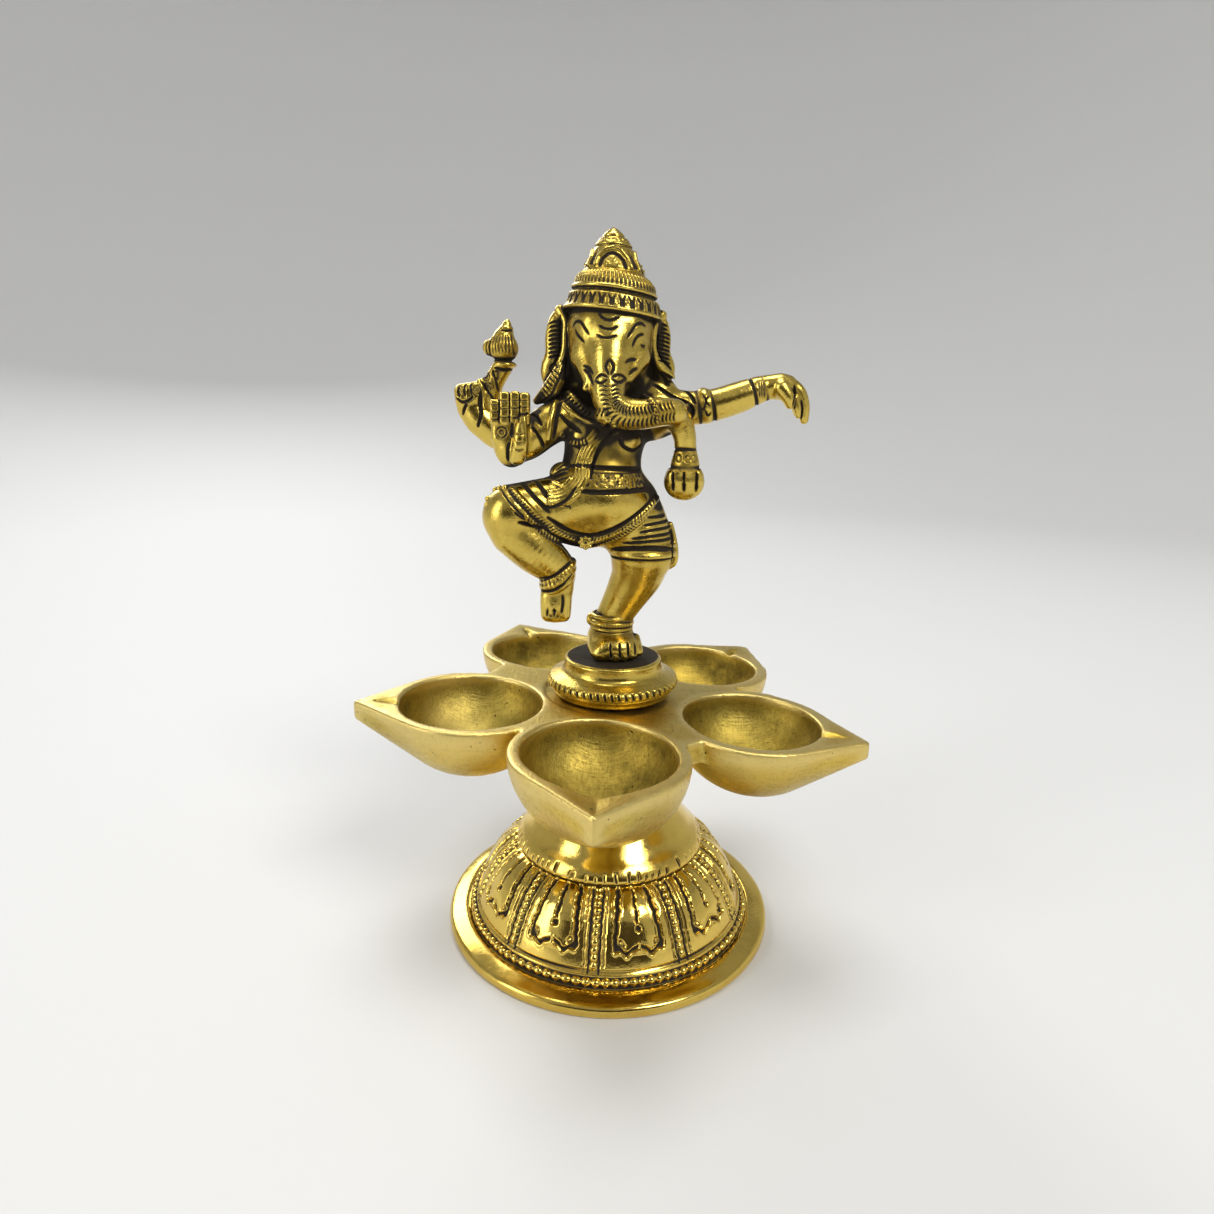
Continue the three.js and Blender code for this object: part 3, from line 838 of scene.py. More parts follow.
def surface_grid(grid, profile, height):
    """Moves a turned grid along the profile's outward normal."""
    slope = np.gradient(profile, axis=0)
    slope /= np.linalg.norm(slope, axis=1, keepdims=True)
    out_r, out_z = -slope[:, 1][:, None], slope[:, 0][:, None]
    radius = np.maximum(np.hypot(grid[..., 0], grid[..., 1]), 1e-6)
    scale = 1 + height * out_r / radius
    return np.stack([grid[..., 0] * scale, grid[..., 1] * scale, grid[..., 2] + height * out_z], 2)


def bridge(upper, lower):
    """Triangles and quads between the last ring of one grid and the first of the next."""
    a0 = upper[0] + (upper[1] - 1) * upper[2]
    b0 = lower[0]
    na, nb = upper[2], lower[2]
    faces = []
    i = j = 0
    while i < na or j < nb:
        a, b = a0 + i % na, b0 + j % nb
        if j >= nb or (i < na and (i + 1) * nb <= (j + 1) * na):
            faces.append((a, b, a0 + (i + 1) % na))
            i += 1
        else:
            faces.append((a, b, b0 + (j + 1) % nb))
            j += 1
    return faces


NECK_OUTSIDE = [
    (17.6, 18.9), (21.0, 18.9), (21.6, 19.1), (21.75, 19.7), (21.3, 20.7), (20.5, 21.7),
    (19.3, 22.9), (18.2, 24.2), (15.6, 27.5), (13.4, 31.5), (12.35, 36.0), (12.2, 40.0),
    (12.5, 43.0), (13.0, 46.0), (13.05, 46.4), (12.0, 46.4),
]
PEDESTAL_OUTSIDE = [
    (12.6, 55.0), (13.0, 55.2), (13.4, 56.0), (14.1, 56.8), (14.45, 57.3), (14.65, 57.9),
    (14.5, 58.6), (14.0, 59.1), (13.0, 59.45), (11.9, 59.85), (11.2, 60.4), (10.9, 61.1),
    (10.8, 62.0), (10.75, 62.8), (10.3, 63.15), (9.9, 63.2), (4.0, 63.2), (0.4, 63.2),
]


def lathe_piece(name, profile, spacing, columns, relief, material, body, slot, node, inner_radius):
    """A turned piece whose relief is a function of the profile's radius and height and
    of the turn. It returns height and cavity. A plain bore or flat ends close the piece."""
    line = resample(profile, spacing)
    grid, turn = turned(line, columns)
    height, cavity = relief(line[:, 0][:, None], line[:, 1][:, None], turn)
    shape = grid.shape[:2]
    height = np.broadcast_to(height, shape)
    cavity = np.broadcast_to(cavity, shape)
    # These profiles run upwards, so the outward normal is the other way about.
    outer = surface_grid(grid, line, -height)
    points = [outer.reshape(-1, 3)]
    values = [cavity.reshape(-1)]
    faces = sheet(shape[0], columns).tolist()
    total = shape[0] * columns
    spans = [(0, shape[0], columns)]
    if inner_radius:
        bore = np.array([[inner_radius, line[-1, 1]], [inner_radius, line[0, 1]]])
        hole, _ = turned(bore, columns // 4)
        points.append(hole.reshape(-1, 3))
        values.append(np.full(hole.shape[0] * hole.shape[1], -0.4))
        faces += (total + sheet(2, columns // 4)).tolist()
        spans.append((total, 2, columns // 4))
        faces += [f[::-1] for f in bridge(spans[0], spans[1])]
        faces += [f[::-1] for f in bridge(spans[1], spans[0])]
    else:
        points.append(np.array([[0.0, 0.0, line[0, 1]], [0.0, 0.0, line[-1, 1]]]))
        values.append(np.array([cavity[0].mean(), cavity[-1].mean()]))
        last = (shape[0] - 1) * columns
        for i in range(columns):
            j = (i + 1) % columns
            faces += [(j, i, total), (last + i, last + j, total + 1)]
    made = make_object(name, np.vstack(points), faces, material,
                       {"cavity": np.concatenate(values)})
    return place(made, body, slot, node)


def neck_relief(radius, z, turn):
    notches = 58
    share = turn / (2 * np.pi) * notches + 0.45 * np.sin(5 * turn) + 0.3 * np.sin(11 * turn)
    slant = (z - 20) * 0.05 * np.sin(7 * turn)
    cut = groove(share + slant - np.round(share + slant), 0.20)
    reach = 21.0 + 0.35 * np.sin(9 * turn + 2.0) + 0.2 * np.sin(23 * turn)
    zone = soft_step(z, 19.2, 19.5) * (1 - soft_step(z - reach, -0.3, 0.3)) * (radius > 20.4)
    rim = (1 - soft_step(z, 18.95, 19.35)) * (radius > 21.0)
    height = -0.42 * cut * zone
    dark = np.maximum(cut * zone * (0.8 + 0.2 * np.sin(4 * turn)), 0.7 * rim)
    stain = 0.18 * soft_step(-z, -24.5, -20.5)
    return height, 0.22 - 1.0 * dark - stain


def pedestal_relief(radius, z, turn):
    teeth = 56
    share = turn / (2 * np.pi) * teeth + 0.2 * np.sin(4 * turn)
    lean = (z - 58.2) * 0.10
    cut = groove(share + lean - np.round(share + lean), 0.36)
    zone = soft_step(z, 57.1, 57.4) * (1 - soft_step(z, 58.8, 59.1)) * (radius > 13.5)
    lip = groove(z - 57.05 - 0.1 * np.sin(6 * turn), 0.30) * (radius > 13.5)
    height = -0.45 * cut * zone - 0.28 * lip
    dark = np.maximum(cut * zone, 0.6 * lip)
    top = soft_step(-radius, -10.4, -9.9) * (z > 62.9)
    scuff = 0.16 * np.sin(9 * turn + 1.5 * radius) * np.sin(2.2 * radius + 3 * turn)
    top = top * (1.0 + scuff)
    base = 0.20 * soft_step(-z, -57.0, -55.0)
    dark = np.maximum(dark, top * 1.15)
    return height, 0.28 - 1.05 * dark - base


def screw(name, node, radius, low, high, pitch, depth, columns, chamfer, bore=0.0, flats=0.0):
    """A threaded rod, or (with flats) a chamfered hexagon nut with a threaded bore."""
    rings = int((high - low) / (pitch / 8)) + 1
    z = np.linspace(low, high, rings)[:, None]
    turn = np.linspace(0, 2 * np.pi, columns, endpoint=False)[None, :]
    phase = z / pitch - turn / (2 * np.pi)
    thread = np.abs(phase - np.floor(phase) - 0.5) * 2
    end = np.minimum(z - low, high - z)
    if flats:
        sector = np.mod(turn, np.pi / 3) - np.pi / 6
        outside = np.minimum(flats / np.cos(sector), radius + np.minimum(end, 1.0) * 1.7)
        outside = outside + 0 * z
        inside = bore + depth * thread
    else:
        outside = radius - depth * thread - np.maximum(0, chamfer - end)
        inside = None
    walls = [outside] if inside is None else [outside, inside]
    points, faces = [], []
    for wall, radii in enumerate(walls):
        grid = np.stack([radii * np.cos(turn), radii * np.sin(turn), z + 0 * radii], 2)
        start = wall * rings * columns
        quads = start + sheet(rings, columns)
        faces.append(quads if wall == 0 else quads[:, ::-1])
        points.append(grid.reshape(-1, 3))
    step = np.arange(columns)
    nextstep = (step + 1) % columns
    last = (rings - 1) * columns
    total = rings * columns
    if inside is None:
        points.append(np.array([[0, 0, low], [0, 0, high]]))
        caps = [(nextstep[i], step[i], total) for i in range(columns)]
        caps += [(last + step[i], last + nextstep[i], total + 1) for i in range(columns)]
    else:
        caps = [(nextstep[i], step[i], total + step[i], total + nextstep[i])
                for i in range(columns)]
        caps += [(last + step[i], last + nextstep[i], total + last + nextstep[i],
                  total + last + step[i]) for i in range(columns)]
    made = make_object(name, np.vstack(points), np.vstack(faces).tolist() + caps, STEEL)
    made.data.set_sharp_from_angle(angle=math.radians(35))
    place(made, "figure", "plated_steel", node)


def make_fasteners():
    low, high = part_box("tie_stud")
    screw("threaded_stud", "tie_stud", 2.98, low.z / MM, high.z / MM, 0.8, 0.34, 48, 0.5)
    low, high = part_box("hex_nut")
    screw("nut", "hex_nut", 4.85, low.z / MM, high.z / MM, 0.8, 0.3, 96, 0.0, 3.1, 5.0)
    low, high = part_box("clamp_washer")
    low, high = low.z / MM, high.z / MM
    edge = [(6.0, low), (6.2, low + 0.2), (6.2, high - 0.2), (6.0, high)]
    line = np.array([(3.3, low)] + edge + [(3.3, high)])
    grid, _ = turned(line, 96)
    rings = np.concatenate([grid, grid[:1]])
    faces = sheet(7, 96) % (6 * 96)
    made = make_object("washer", grid.reshape(-1, 3), faces, STEEL)
    made.data.set_sharp_from_angle(angle=math.radians(35))
    place(made, "figure", "plated_steel", "clamp_washer")


def make_turned_pieces():
    lathe_piece("neck", NECK_OUTSIDE, 0.18, 560, neck_relief, POLISHED,
                "foot", "polished_brass", "neck_stem", 10.4)
    lathe_piece("pedestal_visual", PEDESTAL_OUTSIDE, 0.15, 640, pedestal_relief, ANTIQUE,
                "figure", "antique_brass", "pedestal", 0)


make_camera()
make_stage()
make_bell()
make_turned_pieces()
make_fasteners()


# ---- Tray ----------------------------------------------------------------------------------

LEAN_X, LEAN_Y = -0.047, 0.0134
CUP_RADIUS, CUP_REACH, TIP_REACH = 17.4, 31.9, 56.0
BOWL_DEPTH = 13.4

Cup = namedtuple("Cup", "bowl_turn tip_turn bowl_radius depth tip_height tip_radius spout_width spout_depth")
CUPS = [
    Cup(-93.8, -92.6, 14.9, 17.0, 4.9, 0.12, 8.5, 1.5),
    Cup(-20.8, -20.6, 14.6, 15.6, 3.1, 0.80, 2.6, 1.2),
    Cup(46.3, 48.0, 14.5, 15.8, 3.3, 0.45, 2.6, 1.1),
    Cup(121.3, 119.4, 14.9, 15.8, 3.3, 0.35, 2.8, 1.2),
    Cup(200.2, 196.0, 15.1, 15.4, 3.7, 0.40, 2.8, 1.3),
]


def polar(reach, degrees):
    return np.array(
        [reach * math.cos(math.radians(degrees)), reach * math.sin(math.radians(degrees))]
    )


def below_top(x, y, z):
    return TRAY_TOP + LEAN_X * x + LEAN_Y * y - z


def cup_outside(cup):
    """A half ball drawn out to an upright tip edge, cut off at the tray's top."""
    centre, tip = polar(CUP_REACH, cup.bowl_turn), polar(TIP_REACH, cup.tip_turn)
    ahead = tip - centre
    length = np.linalg.norm(ahead)
    ahead /= length
    length -= cup.tip_radius

    def distance(x, y, z):
        u = (x - centre[0]) * ahead[0] + (y - centre[1]) * ahead[1] + 0 * z
        v = (y - centre[1]) * ahead[0] - (x - centre[0]) * ahead[1] + 0 * z
        deepen = CUP_RADIUS / cup.depth
        q = below_top(x, y, z) * deepen

        def gap(share):
            rise = q - np.clip(q, 0, cup.tip_height * deepen * share)
            radius = CUP_RADIUS * (1 - share) + cup.tip_radius * share
            return np.sqrt((u - share * length) ** 2 + v * v + rise * rise) - radius

        low, high = np.zeros_like(u), np.ones_like(u)
        golden = 0.618034
        for _ in range(13):
            a, b = high - golden * (high - low), low + golden * (high - low)
            lower = gap(a) < gap(b)
            high = np.where(lower, b, high)
            low = np.where(lower, low, a)
        return gap((low + high) / 2)

    low = [min(centre[0] - CUP_RADIUS, tip[0]), min(centre[1] - CUP_RADIUS, tip[1])]
    high = [max(centre[0] + CUP_RADIUS, tip[0]), max(centre[1] + CUP_RADIUS, tip[1])]
    return Shape(
        np.array(low + [TRAY_TOP - 22.0]), np.array(high + [TRAY_TOP + 3.5]), distance
    )


def spout_cut(cup):
    """The hollow between the bowl and the tip: a shallow trough that narrows to the tip."""
    centre, tip = polar(CUP_REACH, cup.bowl_turn), polar(TIP_REACH, cup.tip_turn)
    ahead = tip - centre
    length = np.linalg.norm(ahead)
    ahead /= length
    end = length - 1.2 if cup.spout_width > 4 else cup.bowl_radius + 5.2
    start = cup.bowl_radius - 5.0

    def distance(x, y, z):
        u = (x - centre[0]) * ahead[0] + (y - centre[1]) * ahead[1] + 0 * z
        v = (y - centre[1]) * ahead[0] - (x - centre[0]) * ahead[1] + 0 * z
        q = below_top(x, y, z)
        share = np.clip((u - start) / (end - start), 0, 1)
        width = cup.spout_width * (1.25 - 1.25 * share ** 1.2) + 0.02
        floor = cup.spout_depth * (1 - np.abs(v) / width) * np.minimum(1, (1 - share) * 3 + 0.25)
        return np.maximum(q - floor, start + 1.5 - u) * 0.75

    points = np.array([centre + ahead * start, tip])
    return Shape(
        np.array(list(points.min(0) - 9) + [TRAY_TOP - 6.0]),
        np.array(list(points.max(0) + 9) + [TRAY_TOP + 3.5]),
        distance,
    )


def everywhere(distance):
    return Shape(np.full(3, -1e3), np.full(3, 1e3), distance)


def make_tray():
    clay = Clay((-57.5, -57.5, 35.0), (57.5, 50.0, 59.0), 0.58)

    def web(x, y, z):
        q = below_top(x, y, z)
        radial = np.sqrt(x * x + y * y) - 30.0
        return np.maximum(radial, np.abs(q - 1.5) - 3.5)

    clay.add(Shape(np.array([-31, -31, 44.0]), np.array([31, 31, 60.0]), web))
    for cup in CUPS:
        clay.add(cup_outside(cup), 1.0)

    def boss(x, y, z):
        side = np.sqrt(x * x + y * y) - 15.2 + np.maximum(0, (49.7 - z) * 0.5)
        return np.maximum(side, 46.7 - z)

    clay.add(Shape(np.array([-16, -16, 46.0]), np.array([16, 16, 60.0]), boss), 1.2)

    def waves(x, y):
        return 0.07 * np.sin(x / 5.3 + 1.0) * np.sin(y / 6.1) + 0.05 * np.sin((x + 1.7 * y) / 9.0)

    clay.carve(everywhere(lambda x, y, z: below_top(x, y, z) + waves(x, y)), 0.45)
    for cup in CUPS:
        centre = polar(CUP_REACH, cup.bowl_turn)
        rim = TRAY_TOP + LEAN_X * centre[0] + LEAN_Y * centre[1]
        radii = (cup.bowl_radius, cup.bowl_radius, BOWL_DEPTH)
        clay.carve(spout_cut(cup), 0.3)
        clay.carve(ball((centre[0], centre[1], rim + 0.2), radii), 0.35)
    seat = lambda x, y, z: np.maximum(np.sqrt(x * x + y * y) - 15.4, TRAY_TOP - z)
    clay.carve(Shape(np.array([-16, -16, 53.0]), np.array([16, 16, 60.0]), seat), 0.15)
    bore = lambda x, y, z: np.sqrt(x * x + y * y) - 3.4 + 0 * z
    clay.carve(Shape(np.array([-4, -4, 40.0]), np.array([4, 4, 60.0]), bore), 0.0)

    points, quads, normals = clay.surface()
    bowl = np.zeros(len(points))
    for cup in CUPS:
        centre = polar(CUP_REACH, cup.bowl_turn)
        rim = TRAY_TOP + LEAN_X * centre[0] + LEAN_Y * centre[1]
        offset = points - [centre[0], centre[1], rim + 0.2]
        near = np.sqrt(
            (offset[:, 0] ** 2 + offset[:, 1] ** 2) / cup.bowl_radius ** 2
            + (offset[:, 2] / BOWL_DEPTH) ** 2
        )
        depth = soft_step(-offset[:, 2], 0.2, 2.5)
        bowl = np.maximum(bowl, depth * (near < 1.03))
    soft = clay.sample(clay.blurred(1.5), points)
    # Walls and undersides are darker than the filed top, the more so the further below it they lie; the
    # bowls are a little darker too.
    below = TRAY_TOP + LEAN_X * points[:, 0] + LEAN_Y * points[:, 1] - points[:, 2]
    darker_below = (1 - bowl) * soft_step(below, 0.6, 6.0) * (0.10 + 0.16 * soft_step(below, 4.0, 16.0))
    darker_below = darker_below + 0.10 * bowl
    made = make_object("tray", points, quads, SATIN,
                       {"cavity": 0.6 * soft - darker_below, "bowl": bowl}, normals)
    place(made, "tray", "satin_brass", "diya_tray")


make_tray()


# ---- Figure --------------------------------------------------------------------------------

AHEAD, ASTERN = (0.0, 1.0, 0.0), (0.0, -1.0, 0.0)
OUT_REACH = 26.0


class Sculpture(Clay):
    """Clay with tools that follow its surface."""

    def land(self, points, toward):
        """Where points carried from outside along a direction first meet the surface."""
        toward = np.array(toward, float)
        toward /= np.linalg.norm(toward)
        landed = []
        for point in np.atleast_2d(np.asarray(points, float)):
            found = self.hit(point - toward * OUT_REACH, toward, OUT_REACH + 14.0)
            landed.append(found if found is not None else None)
        return landed, toward

    def trace(self, rows, toward, spacing):
        """Rows of x, z (seen from the front or back) or x, y, z laid on the surface."""
        rows = np.asarray(rows, float)
        if rows.shape[1] == 2:
            rows = np.stack([rows[:, 0], np.zeros(len(rows)), rows[:, 1]], 1)
        rows = even(rows, spacing) if len(rows) > 1 else rows
        landed, toward = self.land(rows, toward)
        return np.array([p for p in landed if p is not None]), toward

    def cut(self, rows, width=0.3, depth=0.35, toward=AHEAD, taper=True, spacing=0.6):
        """Engraves a line of half-width width into the surface."""
        points, toward = self.trace(rows, toward, spacing)
        if len(points) == 0:
            return
        radii = np.full(len(points), width)
        if taper and len(points) > 2:
            share = np.linspace(0, 1, len(points))
            radii = width * np.clip(np.minimum(share, 1 - share) * 5 + 0.45, 0, 1)
        points = points - toward * (radii[:, None] - depth * radii[:, None] / width)
        self.carve(self.line(points, radii), 0.08, min(1.0, 0.45 + depth))

    def lay(self, rows, width, rise, part, toward=AHEAD, blend=0.15, spacing=0.7, ends=1.0,
            squash=None):
        """Lays a raised strand of half-width width on the surface."""
        points, toward = self.trace(rows, toward, spacing)
        if len(points) == 0:
            return
        radii = np.full(len(points), float(width))
        if ends != 1.0 and len(points) > 2:
            share = np.linspace(0, 1, len(points))
            radii *= np.clip(np.minimum(share, 1 - share) * 6 * (1 - ends) + ends, 0, 1)
        points = points + toward * (radii[:, None] - rise)
        self.add(self.line(points, radii), blend, part)

    @staticmethod
    def line(points, radii):
        if len(points) == 1:
            return ball(points[0], radii[0])
        rows = np.column_stack([points, radii])
        centres = rows[:, :3]
        low = (centres - rows[:, 3:]).min(0)
        high = (centres + rows[:, 3:]).max(0)

        def distance(x, y, z):
            best = None
            for a, b in zip(rows[:-1], rows[1:]):
                d = rod_distance(x, y, z, a[:3], b[:3], a[3], b[3])
                best = d if best is None else np.minimum(best, d)
            return best

        return Shape(low, high, distance)

    def ticks(self, rows, half_length, pitch, width=0.16, depth=0.25, lean=0.0, toward=AHEAD,
              swell=None):
        """Short cuts across a line, one every pitch."""
        rows = np.asarray(rows, float)
        if rows.shape[1] == 2:
            rows = np.stack([rows[:, 0], np.zeros(len(rows)), rows[:, 1]], 1)
        line = even(rows, pitch)
        along = np.gradient(line, axis=0)
        along /= np.maximum(np.linalg.norm(along, axis=1, keepdims=True), 1e-9)
        across = np.cross(along, np.array(toward, float))
        across /= np.maximum(np.linalg.norm(across, axis=1, keepdims=True), 1e-9)
        for i, (point, side, forward) in enumerate(zip(line, across, along)):
            reach = half_length * (1.0 if swell is None else swell(i / max(1, len(line) - 1)))
            step = side * reach + forward * lean * reach
            self.cut([point - step, point + step], width, depth, toward, spacing=reach)

    def cord(self, rows, width, rise, part, pitch, toward=AHEAD, lean=0.6, depth=0.28):
        """A raised twisted cord."""
        self.lay(rows, width, rise, part, toward)
        self.ticks(rows, width * 0.95, pitch, 0.15, depth, lean, toward)

    def pearls(self, rows, radius, rise, part, pitch, toward=AHEAD):
        points, toward = self.trace(rows, toward, pitch)
        for point in points:
            self.add(ball(point + toward * (radius - rise), radius), 0.05, part)

    def ribbon(self, rows, strands, spread, width, rise, part, toward=AHEAD):
        """Several strands side by side."""
        rows = np.asarray(rows, float)
        along = np.gradient(rows[:, :2], axis=0)
        along /= np.linalg.norm(along, axis=1, keepdims=True)
        across = np.stack([-along[:, 1], along[:, 0]], 1)
        for i in range(strands):
            share = (i / (strands - 1) - 0.5) * 2 if strands > 1 else 0
            self.lay(rows[:, :2] + across * share * spread, width, rise * (1 - 0.25 * share ** 2),
                     part, toward, blend=0.05)


TORSO, STANDING_LEG, RAISED_LEG = "figure_torso", "figure_standing_leg", "figure_raised_leg"
HEAD, CROWN = "figure_head_and_trunk", "figure_crown"
RIGHT_EAR, LEFT_EAR = "figure_right_ear", "figure_left_ear"
REAR_RIGHT, REAR_LEFT = "figure_rear_right_arm", "figure_rear_left_arm"
FRONT_RIGHT, FRONT_LEFT = "figure_front_right_arm", "figure_front_left_arm"
BUD = "figure_held_bud"


def tilt(x_degrees=0.0, y_degrees=0.0, z_degrees=0.0):
    return (
        Matrix.Rotation(math.radians(z_degrees), 4, "Z")
        @ Matrix.Rotation(math.radians(y_degrees), 4, "Y")
        @ Matrix.Rotation(math.radians(x_degrees), 4, "X")
    )


def sculpt_torso(s):
    s.add(ball((-2.0, 0.6, 113.0), (9.4, 6.4, 5.2)), 0, TORSO)
    s.add(ball((-3.0, -0.4, 107.5), (8.1, 7.0, 6.4)), 3, TORSO)
    s.add(ball((1.4, -3.6, 110.6), (3.6, 3.2, 3.0)), 1.6, TORSO)
    s.add(ball((-6.8, -3.4, 110.9), (3.4, 3.0, 3.0)), 1.6, TORSO)
    s.add(ball((-3.6, -1.6, 102.4), (9.0, 8.2, 5.4)), 2.5, TORSO)
    s.add(ball((-3.9, -2.1, 98.0), (10.3, 9.2, 7.0)), 2.5, TORSO)
    s.add(ball((-2.6, -0.6, 92.8), (9.6, 8.2, 4.8)), 2.5, TORSO)
    s.add(ball((-2.0, 3.0, 95.5), (10.5, 6.2, 6.5)), 2.5, TORSO)
    s.add(ball((-2.2, 3.6, 119.0), (5.6, 5.4, 5.0)), 2.5, TORSO)
    s.add(ball((-10.6, 1.6, 118.0), (4.8, 4.0, 5.2)), 1.5, TORSO)
    s.add(ball((7.8, 2.2, 119.4), (4.6, 4.0, 4.8)), 1.5, TORSO)


def sculpt_legs(s):
    s.add(strand([(2.6, -0.8, 97.0, 6.6), (4.3, -0.9, 92.0, 7.1), (6.0, -0.6, 87.0, 6.9)]),
          2.0, STANDING_LEG)
    s.add(strand([(5.6, -0.6, 85.5, 6.4), (4.9, 0.0, 81.8, 5.6), (2.8, 0.6, 77.4, 4.7),
                  (0.7, 0.9, 73.3, 4.1), (-0.4, 0.9, 70.5, 4.1)]), 0.4, STANDING_LEG)
    # The foot: heel, instep and five toes.
    s.add(ball((-0.6, 1.4, 67.0), (5.3, 4.9, 4.4)), 1.6, STANDING_LEG)
    s.add(ball((0.2, -1.8, 65.8), (5.9, 4.7, 3.3)), 1.4, STANDING_LEG)
    s.add(ball((-2.4, -4.1, 65.0), (2.6, 2.3, 1.9)), 0.7, STANDING_LEG)
    for x, y, z, r in ((0.5, -4.8, 65.1, 1.3), (2.3, -4.5, 65.2, 1.25), (4.0, -3.8, 65.4, 1.2),
                       (5.4, -2.7, 65.6, 1.1)):
        s.add(strand([(x - 0.5, y + 2.4, z + 1.7, r), (x, y, z, r), (x + 0.1, y - 0.3, z - 0.6, r)]),
              0.35, STANDING_LEG)
    # The raised thigh, the calf drawn back beneath it and the hanging foot.
    s.add(strand([(-6.5, -1.5, 96.6, 7.4), (-13.5, -4.6, 96.2, 6.6), (-20.8, -7.8, 95.6, 5.9)]),
          2.4, RAISED_LEG)
    s.add(ball((-21.6, -8.2, 94.6), (5.5, 5.4, 5.7)), 1.5, RAISED_LEG)
    s.add(strand([(-20.6, -8.4, 91.9, 5.2), (-16.4, -8.0, 88.0, 4.9), (-12.2, -7.3, 84.2, 3.9),
                  (-11.9, -7.2, 80.6, 3.3)]), 0.7, RAISED_LEG)
    s.add(strand([(-12.1, -7.4, 79.8, 3.15), (-12.2, -7.9, 76.8, 3.1), (-12.4, -8.2, 75.6, 2.7)]),
          1.0, RAISED_LEG)
    s.add(block((-12.2, -7.8, 76.4), (3.1, 2.5, 3.3), 1.4), 0.8, RAISED_LEG)


def sculpt_head(s):
    s.add(ball((-2.0, 1.6, 124.0), (8.6, 5.8, 5.4)), 2.0, HEAD)
    s.add(ball((-1.8, 3.0, 129.2), (11.4, 4.6, 9.4)), 1.5, HEAD)
    s.add(ball((-1.8, 0.2, 132.6), (8.7, 8.9, 6.4)), 1.5, HEAD)
    s.add(ball((-10.7, 1.2, 135.0), (1.7, 2.6, 1.9)), 0.8, HEAD)
    s.add(ball((-1.8, -0.4, 130.6), (8.5, 8.6, 8.4)), 1.5, HEAD)
    s.add(ball((-1.8, -2.6, 127.0), (8.0, 7.2, 5.6)), 2.0, HEAD)
    # Brow bosses and the ridge that becomes the trunk.
    s.add(ball((-5.0, -5.6, 131.4), (3.0, 3.0, 3.6)), 1.6, HEAD)
    s.add(ball((1.5, -5.6, 131.4), (3.0, 3.0, 3.6)), 1.6, HEAD)
    s.add(strand([(-1.8, -5.4, 131.0, 4.2), (-1.8, -7.4, 126.4, 4.5), (-1.9, -9.6, 122.6, 3.6),
                  (-2.0, -11.0, 119.6, 3.3), (-1.2, -11.8, 117.3, 3.1), (1.2, -12.1, 115.8, 3.05),
                  (4.6, -12.0, 115.6, 2.85), (8.0, -11.4, 116.0, 2.7), (11.0, -9.8, 116.2, 2.5)]),
          1.2, HEAD)
    # Cheeks that end in short tusks.
    s.add(strand([(-7.4, -5.4, 126.4, 2.0), (-6.4, -8.2, 123.8, 1.5), (-5.9, -10.0, 121.6, 0.95),
                  (-6.4, -10.8, 120.3, 0.55)]), 1.4, HEAD)
    s.add(strand([(4.0, -5.4, 126.4, 2.0), (2.8, -8.0, 124.0, 1.4), (2.0, -9.8, 122.2, 0.8)]),
          1.4, HEAD)


# The crown's outside by height, then the rise and fall of its bands.
CROWN_LINE = [
    (134.0, 9.9), (136.2, 9.7), (137.7, 9.1), (139.4, 8.5), (140.5, 7.9), (141.5, 7.3),
    (143.9, 5.9), (146.2, 4.6), (149.0, 2.85), (150.3, 1.6), (151.0, 0.8), (151.3, 0.15),
]
CROWN_BANDS = [
    (132.5, -0.3), (134.9, -0.1), (135.1, 0.15), (135.5, 0.3), (135.8, 0.1),
    (137.8, 0.05), (138.1, 0.15), (138.3, -0.1), (138.6, -0.6), (138.9, -0.5), (139.1, 0.1),
    (139.6, 0.35), (139.9, 0.05), (140.1, 0.2), (141.1, 0.5), (142.1, 0.3), (142.5, -0.1),
    (142.8, -0.45), (143.3, -0.15), (147.2, 0.0), (147.5, -0.35), (147.8, 0.15), (149.1, 0.1),
    (149.4, -0.35), (149.7, 0.1), (151.3, 0.0),
]
CROWN_X, CROWN_Y = -1.6, 0.2
CROWN_SIDE, CROWN_BACK = -0.11, 0.02


def crown_height(x, y, z):
    """Height in the crown's own tilted bands, which run level at the tip."""
    share = np.clip((151.3 - z) / 9.0, 0, 1)
    return z - share * (CROWN_SIDE * (x - CROWN_X) + CROWN_BACK * (y - CROWN_Y))


def crown_point(turn, band, push=0.0):
    """A point on the crown's outside at a turn (0 is the front) and band height."""
    z = band
    for _ in range(3):
        radius = np.interp(z, *zip(*CROWN_LINE)) + np.interp(band, *zip(*CROWN_BANDS)) + push
        x = CROWN_X + radius * math.sin(turn)
        y = CROWN_Y - radius * math.cos(turn)
        share = min(1.0, max(0.0, (151.3 - band) / 9.0))
        z = band + share * (CROWN_SIDE * (x - CROWN_X) + CROWN_BACK * (y - CROWN_Y))
    return np.array([x, y, z])


